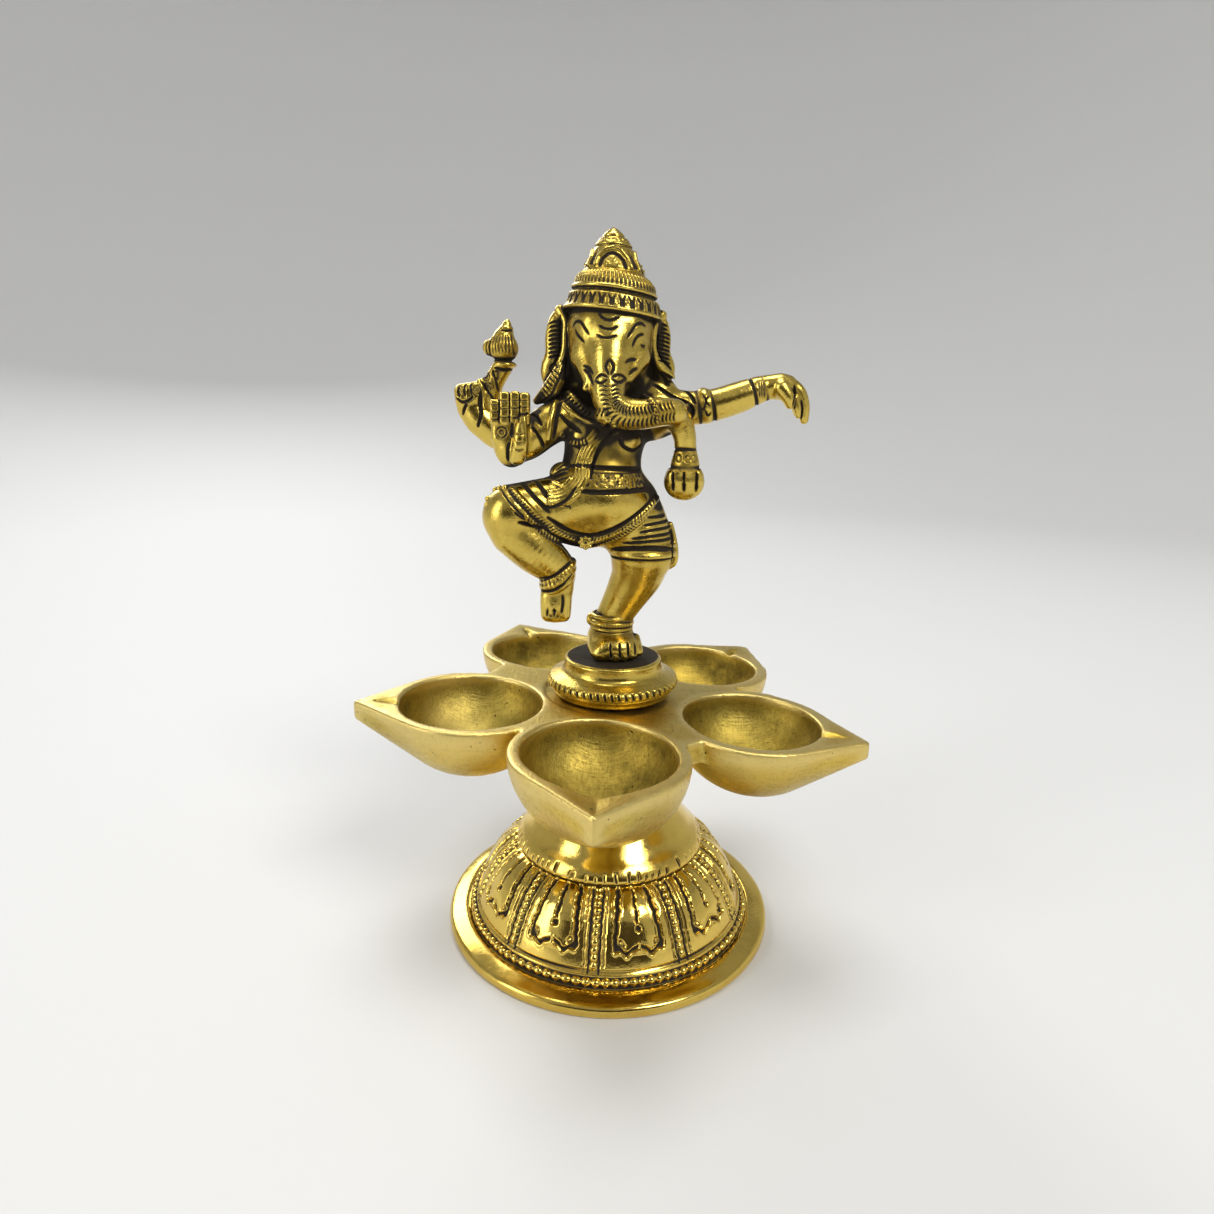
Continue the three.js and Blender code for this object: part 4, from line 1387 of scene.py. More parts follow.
def sculpt_crown(s):
    def cone(x, y, z):
        band = crown_height(x, y, z)
        radius = np.interp(z, *zip(*CROWN_LINE)) + np.interp(band, *zip(*CROWN_BANDS))
        out = np.sqrt((x - CROWN_X) ** 2 + (y - CROWN_Y) ** 2) - radius
        return np.maximum(out * 0.86, np.maximum(z - 151.3, 135.0 - band) * 0.9)

    s.add(Shape(np.array([-12.0, -10.0, 132.0]), np.array([9.0, 10.5, 151.6]), cone), 0.2, CROWN)
    # Fine upright ribs round the thick band, leaves round the band beneath it.
    ribs = 62
    for i in range(ribs):
        turn = 2 * math.pi * i / ribs
        rows = np.array([crown_point(turn, b, 0.02) for b in (140.0, 141.1, 142.3)])
        s.carve(Sculpture.line(rows, np.array([0.2, 0.25, 0.18])), 0.05, 0.55)
    leaves = 30
    for i in range(leaves):
        turn = 2 * math.pi * (i + 0.5) / leaves
        half = math.pi / leaves
        for side in (-1, 1):
            rows = [crown_point(turn + side * half * f, b, 0.0)
                    for f, b in ((0.75, 135.9), (0.8, 136.9), (0.35, 137.8))]
            s.carve(Sculpture.line(np.array(rows), np.array([0.2, 0.26, 0.18])), 0.05, 0.8)
        rows = np.array([crown_point(turn, b, 0.0) for b in (136.2, 137.3)])
        s.carve(Sculpture.line(rows, np.array([0.12, 0.18])), 0.05, 0.6)
    # Four arched panels above the ribs, each with a small bud in a dark niche.
    for quarter in range(4):
        middle = quarter * math.pi / 2
        arch = [(0.62, 143.5), (0.58, 145.0), (0.36, 146.4), (0, 146.9), (-0.36, 146.4),
                (-0.58, 145.0), (-0.62, 143.5)]
        rows = np.array([crown_point(middle + f, b, 0.0) for f, b in arch])
        s.add(Sculpture.line(rows, np.full(len(rows), 0.42)), 0.1, CROWN)
        inner = [(0.42, 143.4), (0.38, 144.6), (0.2, 145.5), (0, 145.8), (-0.2, 145.5),
                 (-0.38, 144.6), (-0.42, 143.4)]
        rows = np.array([crown_point(middle + f, b, 0.0) for f, b in inner])
        s.carve(Sculpture.line(rows, np.full(len(rows), 0.34)), 0.08, 1.0)
        for f, b, r in ((-0.16, 143.8, 0.3), (0.0, 144.7, 0.34), (0.16, 143.8, 0.3)):
            s.add(ball(crown_point(middle + f, b, 0.05), r), 0.05, CROWN)
        for f in (0.74, 0.785, 0.83):
            rows = np.array([crown_point(middle + f, b, 0.02) for b in (143.6, 145.2, 146.6)])
            s.carve(Sculpture.line(rows, np.array([0.22, 0.2, 0.14])), 0.05, 0.7)
    for i in range(22):
        turn = 2 * math.pi * i / 22
        s.carve(ball(crown_point(turn, 148.6, 0.1), 0.26), 0.04, 0.6)


def sculpt_ears(s):
    s.add(ball((-12.6, 0.4, 130.4), (2.6, 1.9, 5.7), tilt(0, 4, 18)), 0.9, RIGHT_EAR)
    s.add(ball((-13.6, 0.8, 124.6), (2.5, 1.8, 4.0), tilt(0, 10, 12)), 1.0, RIGHT_EAR)
    s.add(strand([(-12.0, -0.4, 135.6, 1.2), (-10.9, -1.6, 133.6, 0.75), (-10.9, -2.2, 130.8, 0.7),
                  (-11.0, -2.4, 127.9, 0.75), (-11.9, -2.0, 125.4, 0.8)]), 0.25, RIGHT_EAR)
    # A leaf-shaped lappet hangs below the ear over the shoulder.
    s.add(strand([(-11.8, -2.4, 124.4, 1.2), (-12.8, -3.2, 121.6, 1.8), (-14.2, -3.4, 119.6, 1.7),
                  (-16.6, -2.6, 118.0, 0.8)]), 0.35, RIGHT_EAR)
    s.add(ball((8.0, 0.2, 130.0), (2.5, 1.9, 5.6), tilt(0, -1, -18)), 0.9, LEFT_EAR)
    s.add(ball((9.1, 0.6, 125.2), (2.4, 1.9, 3.4), tilt(0, -14, -12)), 1.0, LEFT_EAR)
    s.add(strand([(8.4, -0.4, 135.0, 1.1), (7.2, -1.9, 133.6, 0.8), (6.7, -2.7, 130.8, 0.75),
                  (6.8, -2.9, 128.0, 0.8), (7.9, -2.4, 125.8, 0.85), (10.6, -1.5, 123.2, 0.9)]),
          0.25, LEFT_EAR)


def sculpt_arms(s):
    s.add(strand([(-8.0, 3.0, 115.4, 4.2), (-14.0, 4.2, 113.4, 3.8), (-20.0, 4.6, 111.4, 3.6),
                  (-25.0, 4.2, 111.0, 3.5), (-29.2, 4.0, 114.0, 3.5)]), 1.2, REAR_RIGHT)
    s.add(ball((-31.0, 3.8, 116.8), (3.4, 2.9, 3.8), tilt(0, -8, 0)), 1.4, REAR_RIGHT)
    s.add(block((-31.2, 3.4, 119.2), (3.3, 2.6, 2.4), 1.7, tilt(0, -9, 0)), 1.0, REAR_RIGHT)
    s.add(strand([(-28.2, 3.2, 121.2, 1.5), (-27.0, 3.0, 118.6, 1.7), (-27.6, 3.2, 115.4, 1.6)]),
          0.5, REAR_RIGHT)
    s.add(strand([(-27.2, 3.5, 119.0, 2.2), (-26.3, 3.8, 121.8, 2.1), (-24.5, 4.0, 124.9, 2.1)]),
          0.4, BUD)
    s.add(ball((-24.0, 4.0, 125.3), (2.5, 2.5, 0.85)), 0.3, BUD)
    s.add(ball((-24.2, 4.0, 128.7), (3.1, 3.1, 2.9), tilt(0, 8, 0)), 0.3, BUD)
    s.add(ball((-27.2, 3.8, 128.7), (1.4, 1.4, 1.6)), 0.8, BUD)
    s.add(strand([(-24.3, 4.0, 130.2, 2.4), (-23.7, 4.0, 132.0, 1.5)]), 0.5, BUD)
    s.add(ball((-23.6, 4.0, 132.6), (1.5, 1.5, 0.55)), 0.1, BUD)
    s.add(strand([(-23.5, 4.0, 133.1, 1.05), (-23.3, 4.0, 134.0, 0.45)]), 0.15, BUD)

    s.add(strand([(-7.8, -0.4, 115.4, 4.4), (-11.4, -2.2, 114.6, 4.1), (-15.0, -3.8, 112.6, 4.0),
                  (-18.2, -5.2, 110.0, 3.7), (-21.0, -6.4, 108.6, 3.2)]), 1.2, FRONT_RIGHT)
    s.add(ball((-21.4, -7.2, 109.6), (3.5, 2.3, 4.8)), 1.2, FRONT_RIGHT)
    s.add(block((-21.4, -7.8, 112.6), (3.8, 1.45, 3.4), 1.3), 0.9, FRONT_RIGHT)
    for x, top in ((-24.25, 118.0), (-22.3, 119.5), (-20.3, 119.6), (-18.4, 119.4)):
        s.add(block((x, -8.2, (113.0 + top) / 2), (1.03, 1.2, (top - 113.0) / 2), 0.62), 0.1,
              FRONT_RIGHT)
    s.add(strand([(-20.0, -8.6, 106.9, 1.7), (-19.3, -9.4, 109.4, 1.55), (-19.2, -9.5, 111.8, 1.25),
                  (-18.9, -9.3, 114.0, 0.95)]), 0.3, FRONT_RIGHT)

    s.add(strand([(6.8, 2.4, 117.6, 4.4), (11.4, 2.4, 116.9, 4.1), (16.0, 2.2, 117.2, 3.5),
                  (20.5, 2.0, 118.0, 3.3), (25.4, 2.0, 119.6, 3.2), (29.0, 2.0, 121.0, 2.8),
                  (31.0, 2.0, 121.6, 2.5)]), 1.2, REAR_LEFT)
    s.add(ball((33.8, 1.8, 121.8), (3.3, 2.6, 2.7), tilt(0, 8, 0)), 0.9, REAR_LEFT)
    s.add(strand([(35.4, 2.0, 122.4, 1.7), (37.6, 1.8, 120.6, 1.55), (38.8, 1.6, 117.9, 1.25),
                  (39.1, 1.5, 115.2, 0.9)]), 0.5, REAR_LEFT)
    s.add(strand([(33.6, 0.2, 121.4, 1.8), (34.9, -0.5, 119.6, 1.35), (35.4, -0.6, 118.2, 0.95)]),
          0.4, REAR_LEFT)
    s.add(strand([(36.6, 1.0, 119.4, 1.1), (37.3, 0.8, 117.6, 0.9), (37.6, 0.8, 116.0, 0.6)]),
          0.15, REAR_LEFT)
    s.add(strand([(36.0, 3.4, 121.2, 1.4), (37.4, 3.6, 118.8, 1.2), (38.0, 3.6, 116.6, 0.8)]),
          0.3, REAR_LEFT)

    s.add(strand([(7.4, -0.6, 114.6, 4.2), (10.4, -4.4, 115.0, 3.2), (12.2, -7.0, 114.4, 2.7),
                  (13.4, -7.4, 111.6, 2.3), (13.7, -7.0, 108.9, 2.15)]), 1.2, FRONT_LEFT)
    s.add(strand([(13.8, -6.9, 108.6, 2.2), (13.8, -6.7, 105.6, 3.0)]), 0.4, FRONT_LEFT)
    s.add(ball((13.8, -6.4, 102.3), (4.1, 2.9, 3.6)), 0.6, FRONT_LEFT)
    s.add(block((13.8, -7.0, 103.4), (3.7, 2.2, 1.9), 1.5), 0.8, FRONT_LEFT)


def dress_torso(s):
    # Waist grooves and the chased band between them, over the belly.
    for z, x0, x1 in ((105.0, -9.5, 5.8), (100.3, -7.2, 7.0)):
        s.cut([(x0, z + 0.2), (-3, z), (x1, z - 0.4 if z > 102 else z + 0.4)], 0.45, 0.7)
    rng = np.random.default_rng(5)
    for _ in range(120):
        x, z = rng.uniform(-6.4, 5.8), rng.uniform(101.2, 103.9)
        s.cut([(x, z)], 0.2, 0.16)
    for z in (104.2, 101.0):
        s.cut([(-6, z), (0, z - 0.1), (6, z)], 0.14, 0.18)
    s.cut([(0.5, 111.2), (1.2, 109.4), (3.3, 108.6), (5.0, 109.8)], 0.22, 0.3)
    s.cut([(-9.6, 110.6), (-8.2, 109.2), (-6.4, 108.9)], 0.22, 0.3)
    s.cut([(3.9, 111.4)], 0.35, 0.3)
    # Broad ribbed neckband, from the right shoulder in under the trunk.
    neckband = [(-10.3, 119.2), (-8.5, 117.6), (-6.7, 116.3), (-4.6, 115.4), (-2.2, 115.2)]
    s.lay(neckband, 1.35, 0.75, TORSO)
    s.ticks(neckband, 1.3, 0.85, 0.2, 0.4, 0.25)
    s.lay([(-10.9, 117.2), (-8.8, 115.5), (-6.4, 114.2), (-3.6, 113.4)], 0.55, 0.45, TORSO)
    s.cord([(5.2, 119.2), (6.8, 117.2), (7.6, 114.6)], 0.7, 0.5, TORSO, 0.8)
    # Fringed sash from the left shoulder to the right hip.
    sash = [(-0.6, 113.4), (-2.4, 112.4), (-4.0, 110.8), (-5.8, 108.2), (-6.8, 105.4),
            (-7.1, 103.0), (-8.8, 100.7), (-11.0, 99.3), (-13.4, 99.0)]
    s.ribbon(sash, 5, 1.35, 0.42, 0.55, TORSO)
    s.cut([(x + 1.95, z + 0.2) for x, z in sash[1:-3]], 0.3, 0.45)
    s.cut([(x - 0.9, z - 1.7) for x, z in sash[-4:]], 0.3, 0.45)
    s.lay([(-11.2, 111.4), (-8.6, 109.9), (-6.2, 110.2), (-4.4, 112.0)], 0.75, 0.5, TORSO)
    s.ticks([(-11.0, 111.3), (-8.6, 109.9), (-6.2, 110.2)], 0.7, 0.8, 0.16, 0.25)
    # Knot on the hip with its short end.
    s.add(ball((-11.4, -4.6, 103.8), (2.5, 2.4, 2.1), tilt(0, -20, 0)), 0.2, TORSO)
    for shift in (-1.2, -0.4, 0.4, 1.2):
        s.cut([(-12.8 + shift * 0.3, 103.0 + shift), (-11.2, 103.9 + shift * 1.1),
               (-9.8, 104.3 + shift)], 0.16, 0.25)
    s.lay([(-12.6, 101.9), (-10.8, 101.4), (-9.4, 102.6)], 0.7, 0.5, TORSO)
    # Rope belt under the belly, with a rosette, and the sash fold beside it.
    belt = [(-21.0, 100.4), (-19.3, 99.0), (-17.2, 97.0), (-14.2, 93.9), (-10.2, 91.2),
            (-6.1, 90.2), (-2.5, 91.0), (1.9, 93.2), (5.8, 96.2), (8.2, 98.8)]
    s.cut([(x + 0.6, z + 1.35) for x, z in belt[3:]], 0.42, 0.6)
    s.cord(belt, 0.85, 0.62, TORSO, 0.75)
    s.cord([(x - 0.5, z - 1.5) for x, z in belt[2:-1]], 0.62, 0.45, TORSO, 0.7, lean=-0.6)
    s.lay([(-6.1, 89.9)], 1.6, 0.75, TORSO)
    for i in range(8):
        turn = i * math.pi / 4
        s.lay([(-6.1 + 1.25 * math.cos(turn), 89.9 + 1.25 * math.sin(turn))], 0.42, 0.5, TORSO)
    s.cut([(-6.1, 89.9)], 0.3, 0.3)
    for z in (88.0, 87.4):
        s.cut([(-9.2, z + 0.3), (-6.0, z - 0.2), (-2.6, z + 0.2)], 0.18, 0.22)


def dress_legs(s):
    # Folds of cloth over the raised thigh.
    for rows in (
        [(-19.6, 102.2), (-18.0, 100.9), (-16.0, 98.9), (-13.4, 96.4)],
        [(-17.0, 102.8), (-15.2, 101.0), (-13.6, 99.0)],
        [(-22.0, 101.4), (-20.4, 99.6), (-18.4, 97.6), (-15.6, 94.8), (-13.0, 92.6)],
    ):
        s.cut(rows, 0.42, 0.6)
    s.cut([(-23.0, 100.6), (-21.4, 98.8), (-19.4, 96.7), (-17.0, 94.5)], 0.2, 0.3)
    s.cut([(-19.2, 94.5), (-16.9, 93.9), (-15.0, 93.1), (-12.0, 91.2), (-9.4, 89.4)], 0.42, 0.8)
    s.cut([(-20.2, 96.6), (-18.6, 95.4), (-16.6, 94.6)], 0.22, 0.3)
    for x, z in ((-25.4, 99.7), (-24.5, 100.3), (-23.5, 100.7), (-22.4, 100.9), (-25.9, 98.6)):
        s.lay([(x, z)], 0.62, 0.45, RAISED_LEG)
    s.lay([(-26.0, 97.6)], 0.5, 0.35, RAISED_LEG)
    # Heavy anklet wound aslant round the raised ankle.
    for shift, width in ((0.2, 0.75), (-1.0, 0.9), (-2.4, 0.75)):
        s.add(tilted_ring((-11.9, -7.2, 83.4 + shift), 3.7 + 0.12 * shift, width, -32, 10), 0.1,
              RAISED_LEG)
    s.cut([(-15.3, 82.6), (-12.6, 83.2), (-10.6, 84.8), (-8.8, 86.4)], 0.25, 0.4)
    s.cut([(-15.2, 79.8), (-12.6, 80.2), (-10.4, 81.8), (-8.6, 83.6)], 0.25, 0.4)
    s.ticks([(-15.0, 81.4), (-12.6, 81.9), (-10.4, 83.4), (-8.6, 84.8)], 0.9, 0.9, 0.15, 0.22)
    s.cut([(-10.7, 79.2), (-10.6, 77.4), (-10.9, 75.3)], 0.25, 0.35)
    s.cut([(-12.3, 76.4), (-12.4, 74.4)], 0.22, 0.3)
    s.cut([(-13.7, 76.2), (-13.9, 74.5)], 0.22, 0.3)
    for x, z in ((-11.6, 74.5), (-13.1, 74.6), (-12.3, 75.9)):
        s.cut([(x, z)], 0.35, 0.25)
    # Pleats on the left hip and the rolled hem of the cloth.
    for left, right, z, sag in ((6.6, 11.4, 95.2, 0.1), (5.8, 11.6, 93.9, 0.4),
                                (5.0, 12.0, 92.6, 0.5), (3.4, 12.4, 91.3, 0.5),
                                (1.6, 12.8, 90.2, 0.4)):
        s.cut([(left, z - sag), ((left + right) / 2, z), (right, z + 0.2)], 0.26, 0.42)
    s.add(tilted_ring((6.1, -0.5, 87.2), 6.55, 0.95, 0, 3), 0.3, STANDING_LEG)
    s.add(tilted_ring((6.1, -0.5, 88.9), 6.75, 0.6, 0, 3), 0.2, STANDING_LEG)
    s.cut([(-0.6, 88.2), (3.0, 88.7), (7.2, 88.8), (12.0, 88.4)], 0.5, 0.75)
    s.cut([(-0.8, 86.2), (3.0, 86.3), (7.2, 86.3), (12.4, 86.3)], 0.25, 0.4)
    s.add(strand([(11.6, -1.6, 93.0, 0.7), (12.3, -2.0, 90.2, 0.8), (12.8, -2.2, 87.2, 0.8),
                  (12.7, -2.2, 85.0, 0.7), (11.9, -2.2, 84.0, 0.5)]), 0.3, STANDING_LEG)
    s.cut([(11.7, 92.0), (12.0, 89.0), (12.1, 85.6)], 0.2, 0.3)
    # Anklet rings of the standing foot and the slits between its toes.
    for z, radius, width in ((72.2, 4.05, 0.55), (70.9, 4.3, 0.75), (69.7, 4.35, 0.5)):
        s.add(tilted_ring((-0.5, 0.9, z), radius, width, 2, 0), 0.12, STANDING_LEG)
    s.add(ball((-5.2, 0.2, 71.4), (0.9, 1.0, 1.3)), 0.3, STANDING_LEG)
    s.ticks([(-2.6, 70.8), (0, 70.6), (3.4, 70.9)], 0.5, 0.6, 0.12, 0.18)
    for a, b in (((-0.6, 67.6), (-0.4, 64.3)), ((1.3, 67.6), (1.45, 64.4)),
                 ((3.1, 67.6), (3.25, 64.6)), ((4.6, 67.2), (4.8, 64.8))):
        s.cut([a, b], 0.26, 0.5)
    for x, z in ((-2.2, 64.9), (0.5, 65.1), (2.3, 65.2), (4.0, 65.4)):
        s.cut([(x - 0.45, z - 0.1), (x, z + 0.35), (x + 0.45, z - 0.1)], 0.12, 0.15)


def tilted_ring(centre, radius, width, roll, pitch):
    """A ring about the vertical, rolled about Y and pitched about X by degrees."""
    centre = np.array(centre, float)
    back = np.array(tilt(pitch, roll, 0).to_3x3()).T

    def distance(x, y, z):
        px, py, pz = x - centre[0], y - centre[1], z - centre[2]
        qx, qy, qz = (r[0] * px + r[1] * py + r[2] * pz for r in back)
        return np.sqrt((np.sqrt(qx * qx + qy * qy) - radius) ** 2 + qz * qz) - width

    reach = radius + width
    return Shape(centre - reach, centre + reach, distance)


def dress_head(s):
    for rows in (
        [(-3.9, 133.9), (-2.9, 133.1), (-1.6, 132.9), (-0.2, 133.6)],
        [(-4.0, 132.0), (-2.9, 131.3), (-1.5, 131.2), (-0.4, 131.8)],
        [(-4.3, 130.2), (-3.2, 129.6), (-1.9, 129.6), (-0.4, 130.1)],
        [(-9.3, 132.0), (-8.6, 132.9), (-7.6, 132.8), (-6.9, 131.8), (-5.9, 130.4)],
        [(-8.7, 131.5), (-8.2, 130.5), (-7.4, 129.6), (-6.8, 128.9)],
        [(1.5, 129.8), (2.2, 131.0), (3.1, 132.3), (4.1, 132.7), (5.0, 132.3)],
        [(2.5, 128.3), (3.0, 129.6), (3.8, 130.5), (4.7, 130.7)],
        [(4.2, 128.7), (4.6, 128.4), (4.9, 128.7)],
        [(1.2, 125.1), (2.0, 125.7), (3.3, 125.9)],
        [(2.0, 122.9), (2.6, 123.7), (3.7, 124.3)],
        [(-6.8, 124.6), (-5.6, 123.9), (-4.9, 122.9)],
        [(-6.8, 123.8), (-5.8, 123.1), (-5.2, 121.9), (-4.8, 120.8)],
        [(-1.8, 125.6), (-2.5, 124.1), (-1.8, 122.6)],
        [(-1.8, 125.6), (-1.0, 124.1), (-1.6, 122.6)],
        [(-4.6, 121.8), (-3.3, 122.7), (-2.0, 122.2)],
        [(-4.6, 121.7), (-3.3, 121.1), (-2.0, 121.9)],
        [(-1.4, 122.2), (0.1, 122.8), (1.4, 122.2)],
        [(-1.4, 122.0), (0.0, 121.3), (1.4, 122.1)],
    ):
        s.cut(rows, 0.24, 0.36)
    s.cut([(-1.8, 124.9), (-1.8, 123.4)], 0.14, 0.2)
    # Two rows of short curved cuts down the trunk, either side of its middle line.
    middle = even([(-1.7, -13.0, 120.6), (-1.5, -13.0, 118.4), (-0.9, -14.0, 116.6),
                   (0.6, -14.0, 115.3), (2.6, -14.0, 115.0), (5.4, -14.0, 115.2),
                   (8.2, -13.0, 115.9), (10.6, -12.0, 116.3)], 0.80)
    along = np.gradient(middle, axis=0)
    along /= np.linalg.norm(along, axis=1, keepdims=True)
    for point, forward in zip(middle, along):
        side = np.array([-forward[2], 0.0, forward[0]])
        for sign in (-1, 1):
            rows = [point + side * sign * a - forward * b
                    for a, b in ((0.1, -0.3), (0.75, 0.05), (1.45, 0.2), (2.1, 0.0))]
            s.cut([(r[0], r[2]) for r in rows], 0.16, 0.28, spacing=0.5)
    # Ribbed ears.
    for i in range(9):
        z = 133.4 - i * 0.82
        s.cut([(-14.4, z - 0.35), (-13.1, z), (-11.8, z - 0.1)], 0.22, 0.38)
    for i in range(10):
        z = 133.2 - i * 0.78
        s.cut([(7.8, z), (9.0, z - 0.1), (10.3, z - 0.45)], 0.22, 0.38)
    s.cut([(-11.9, 134.6), (-12.0, 131.0), (-12.0, 128.0), (-12.9, 125.6)], 0.24, 0.4)
    s.cut([(7.9, 134.0), (7.6, 131.0), (7.6, 128.2), (8.8, 126.2), (10.5, 124.8)], 0.26, 0.42)
    for i in range(8):
        share = i / 7
        x, z = -12.2 - 3.6 * share, 123.6 - 4.9 * share
        s.cut([(x - 1.0, z + 0.5), (x - 0.1, z - 0.2), (x + 0.7, z - 1.1)], 0.16, 0.25)
    s.cut([(-11.2, 124.2), (-12.2, 121.6), (-13.6, 119.0), (-16.0, 117.4)], 0.2, 0.3)
    for turn in np.linspace(0, 2 * np.pi, 9)[:-1]:
        s.cut([(-13.2 + 0.85 * math.cos(turn), 124.4 + 0.85 * math.sin(turn)),
               (-13.2 + 0.85 * math.cos(turn + 0.7), 124.4 + 0.85 * math.sin(turn + 0.7))],
              0.16, 0.25)
    # Locks of hair down the back of the neck.
    for i in range(-8, 9):
        x = -1.8 + i * 1.1
        wave = 0.45 * math.sin(1.7 * i)
        s.cut([(x, 134.6), (x + 0.1 * i + wave, 129.6), (x - 0.12 * i - wave, 124.6),
               (x - 0.32 * i, 119.4 + 0.05 * i * i)], 0.2 + 0.05 * (i % 2), 0.34, toward=ASTERN)


def dress_arms(s):
    # Joints of the open hand, the disc in its palm and the thumb's folds.
    for x in (-23.35, -21.25, -19.25):
        s.cut([(x, 119.0), (x - 0.05, 116.4), (x - 0.1, 113.6)], 0.2, 0.45)
    for x, tops in ((-24.3, (117.0, 115.6, 114.2)), (-22.3, (117.8, 116.3, 114.6)),
                    (-20.25, (117.9, 116.4, 114.6)), (-18.35, (117.9, 116.6, 115.3))):
        for z in tops:
            s.cut([(x - 0.75, z), (x, z - 0.15), (x + 0.75, z)], 0.16, 0.25)
    for radius in (1.05, 0.4):
        circle = [(-22.9 + radius * math.cos(t), 111.7 + radius * math.sin(t))
                  for t in np.linspace(0, 2 * np.pi, 13)]
        s.cut(circle, 0.15, 0.22, taper=False, spacing=0.35)
    s.cut([(-20.8, 113.6), (-21.0, 110.8)], 0.2, 0.35)
    s.cut([(-21.4, 109.8), (-21.7, 108.0), (-21.7, 106.2)], 0.3, 0.45)
    for z in (111.6, 110.0, 108.6):
        s.cut([(-20.3, z), (-19.2, z - 0.3), (-18.2, z)], 0.16, 0.22)
    s.lay([(-18.4, 114.6), (-18.1, 111.0), (-18.3, 107.4)], 0.35, 0.3, FRONT_RIGHT)
    # Sleeve edges and armlets.
    s.cut([(-17.9, 115.4), (-16.5, 114.8), (-15.2, 113.2)], 0.35, 0.5)
    s.cut([(-11.6, 115.3), (-9.6, 113.4), (-7.4, 111.9)], 0.3, 0.4)
    s.lay([(-12.6, 117.8), (-13.4, 114.4), (-14.0, 110.6)], 0.6, 0.35, FRONT_RIGHT)
    s.cut([(-11.6, 117.6), (-12.3, 114.4), (-12.9, 110.8)], 0.3, 0.5)
    s.cut([(-16.9, 112.6), (-15.6, 110.8), (-14.8, 108.9)], 0.3, 0.5)
    s.add(arm_ring((18.2, 2.2, 117.7), 2.2, 1.55, (1, 0, 0.22)), 0.3, REAR_LEFT)
    for x, r in ((16.7, 3.75), (19.6, 3.6)):
        s.carve(arm_ring((x, 2.2, 117.3 + (x - 16.7) * 0.25), r, 0.3, (1, 0, 0.22)), 0.08, 0.9)
    for rows in ([(17.2, 120.0), (18.0, 118.6), (17.6, 117.0)],
                 [(18.8, 119.8), (18.0, 118.6), (18.9, 117.4)],
                 [(18.0, 116.6), (18.6, 115.6), (19.2, 116.4)]):
        s.cut(rows, 0.18, 0.28)
    for x, z in ((28.0, 120.6), (30.3, 121.4)):
        s.carve(arm_ring((x, 2.0, z), 3.0, 0.32, (1, 0, 0.35)), 0.08, 0.9)
    for x in (28.7, 29.2, 29.7):
        s.cut([(x, 123.0), (x + 0.2, 121.2), (x + 0.5, 119.4)], 0.14, 0.22)
    s.cut([(36.2, 122.0), (36.1, 119.8), (35.9, 117.8)], 0.3, 0.5)
    s.cut([(37.9, 119.0), (38.2, 117.2), (38.3, 115.8)], 0.2, 0.3)
    s.cut([(8.7, 124.0), (11.6, 122.3), (14.6, 120.0), (15.8, 118.0)], 0.34, 0.5)
    s.cut([(7.4, 121.5), (10.9, 119.4), (14.4, 118.1)], 0.34, 0.5)
    s.cut([(14.8, 117.8), (15.3, 116.4), (14.6, 115.0)], 0.4, 0.6)
    # Bracelet of the hanging hand and the slits between its knuckles.
    s.carve(arm_ring((13.8, -6.9, 109.0), 2.4, 0.3, (0, 0, 1)), 0.08, 0.9)
    s.carve(arm_ring((13.8, -6.7, 105.5), 3.2, 0.34, (0, 0, 1)), 0.08, 0.9)
    for x, z in ((12.3, 107.3), (14.0, 107.2), (15.4, 107.3)):
        circle = [(x + 0.55 * math.cos(t), z + 0.7 * math.sin(t))
                  for t in np.linspace(0, 2 * np.pi, 9)]
        s.cut(circle, 0.13, 0.2, taper=False, spacing=0.3)
    for x in (11.35, 13.45, 15.9):
        s.cut([(x, 104.5), (x + 0.08, 102.6), (x + 0.15, 100.9)], 0.3, 0.6)
    for x in (10.6, 12.4, 14.7, 16.7):
        s.cut([(x - 0.5, 104.9), (x, 105.2), (x + 0.5, 104.9)], 0.15, 0.2)
    # Closed hand, the cuff over it and the ribbed bud.
    s.cut([(-34.0, 118.4), (-32.6, 117.6), (-31.2, 117.9), (-30.2, 118.8)], 0.26, 0.4)
    s.cut([(-31.6, 117.2), (-32.2, 116.2), (-32.7, 115.0)], 0.28, 0.42)
    s.cut([(-33.2, 121.0), (-33.4, 119.6), (-33.1, 118.4)], 0.2, 0.35)
    s.cut([(-32.0, 121.3), (-32.1, 119.8), (-31.9, 118.4)], 0.2, 0.35)
    s.cut([(-30.7, 121.5), (-30.8, 120.2), (-30.5, 118.8)], 0.2, 0.35)
    s.cut([(-28.6, 119.6), (-29.0, 117.4), (-28.7, 115.0), (-29.4, 112.6)], 0.34, 0.55)
    s.lay([(-29.2, 121.9), (-28.2, 119.4), (-28.0, 116.6)], 0.5, 0.35, REAR_RIGHT)
    for x, z in ((-29.4, 120.0), (-27.3, 120.8), (-27.7, 122.7), (-33.4, 119.6)):
        for radius in (0.75, 0.28):
            circle = [(x + radius * math.cos(t), z + radius * math.sin(t))
                      for t in np.linspace(0, 2 * np.pi, 11)]
            s.cut(circle, 0.13, 0.22, taper=False, spacing=0.3)
    s.cut([(-29.3, 122.6), (-27.9, 120.6), (-26.0, 118.0)], 0.2, 0.35)
    s.cut([(-26.4, 124.4), (-25.6, 121.6), (-25.2, 119.8)], 0.2, 0.3)
    s.cut([(-26.6, 123.6), (-25.4, 122.2), (-25.2, 123.9), (-26.6, 123.6)], 0.15, 0.22)
    s.cut([(-26.1, 126.5), (-24.0, 126.3), (-21.6, 126.6)], 0.3, 0.5)
    s.cut([(-25.9, 124.6), (-24.0, 124.2), (-22.3, 124.6)], 0.25, 0.4)
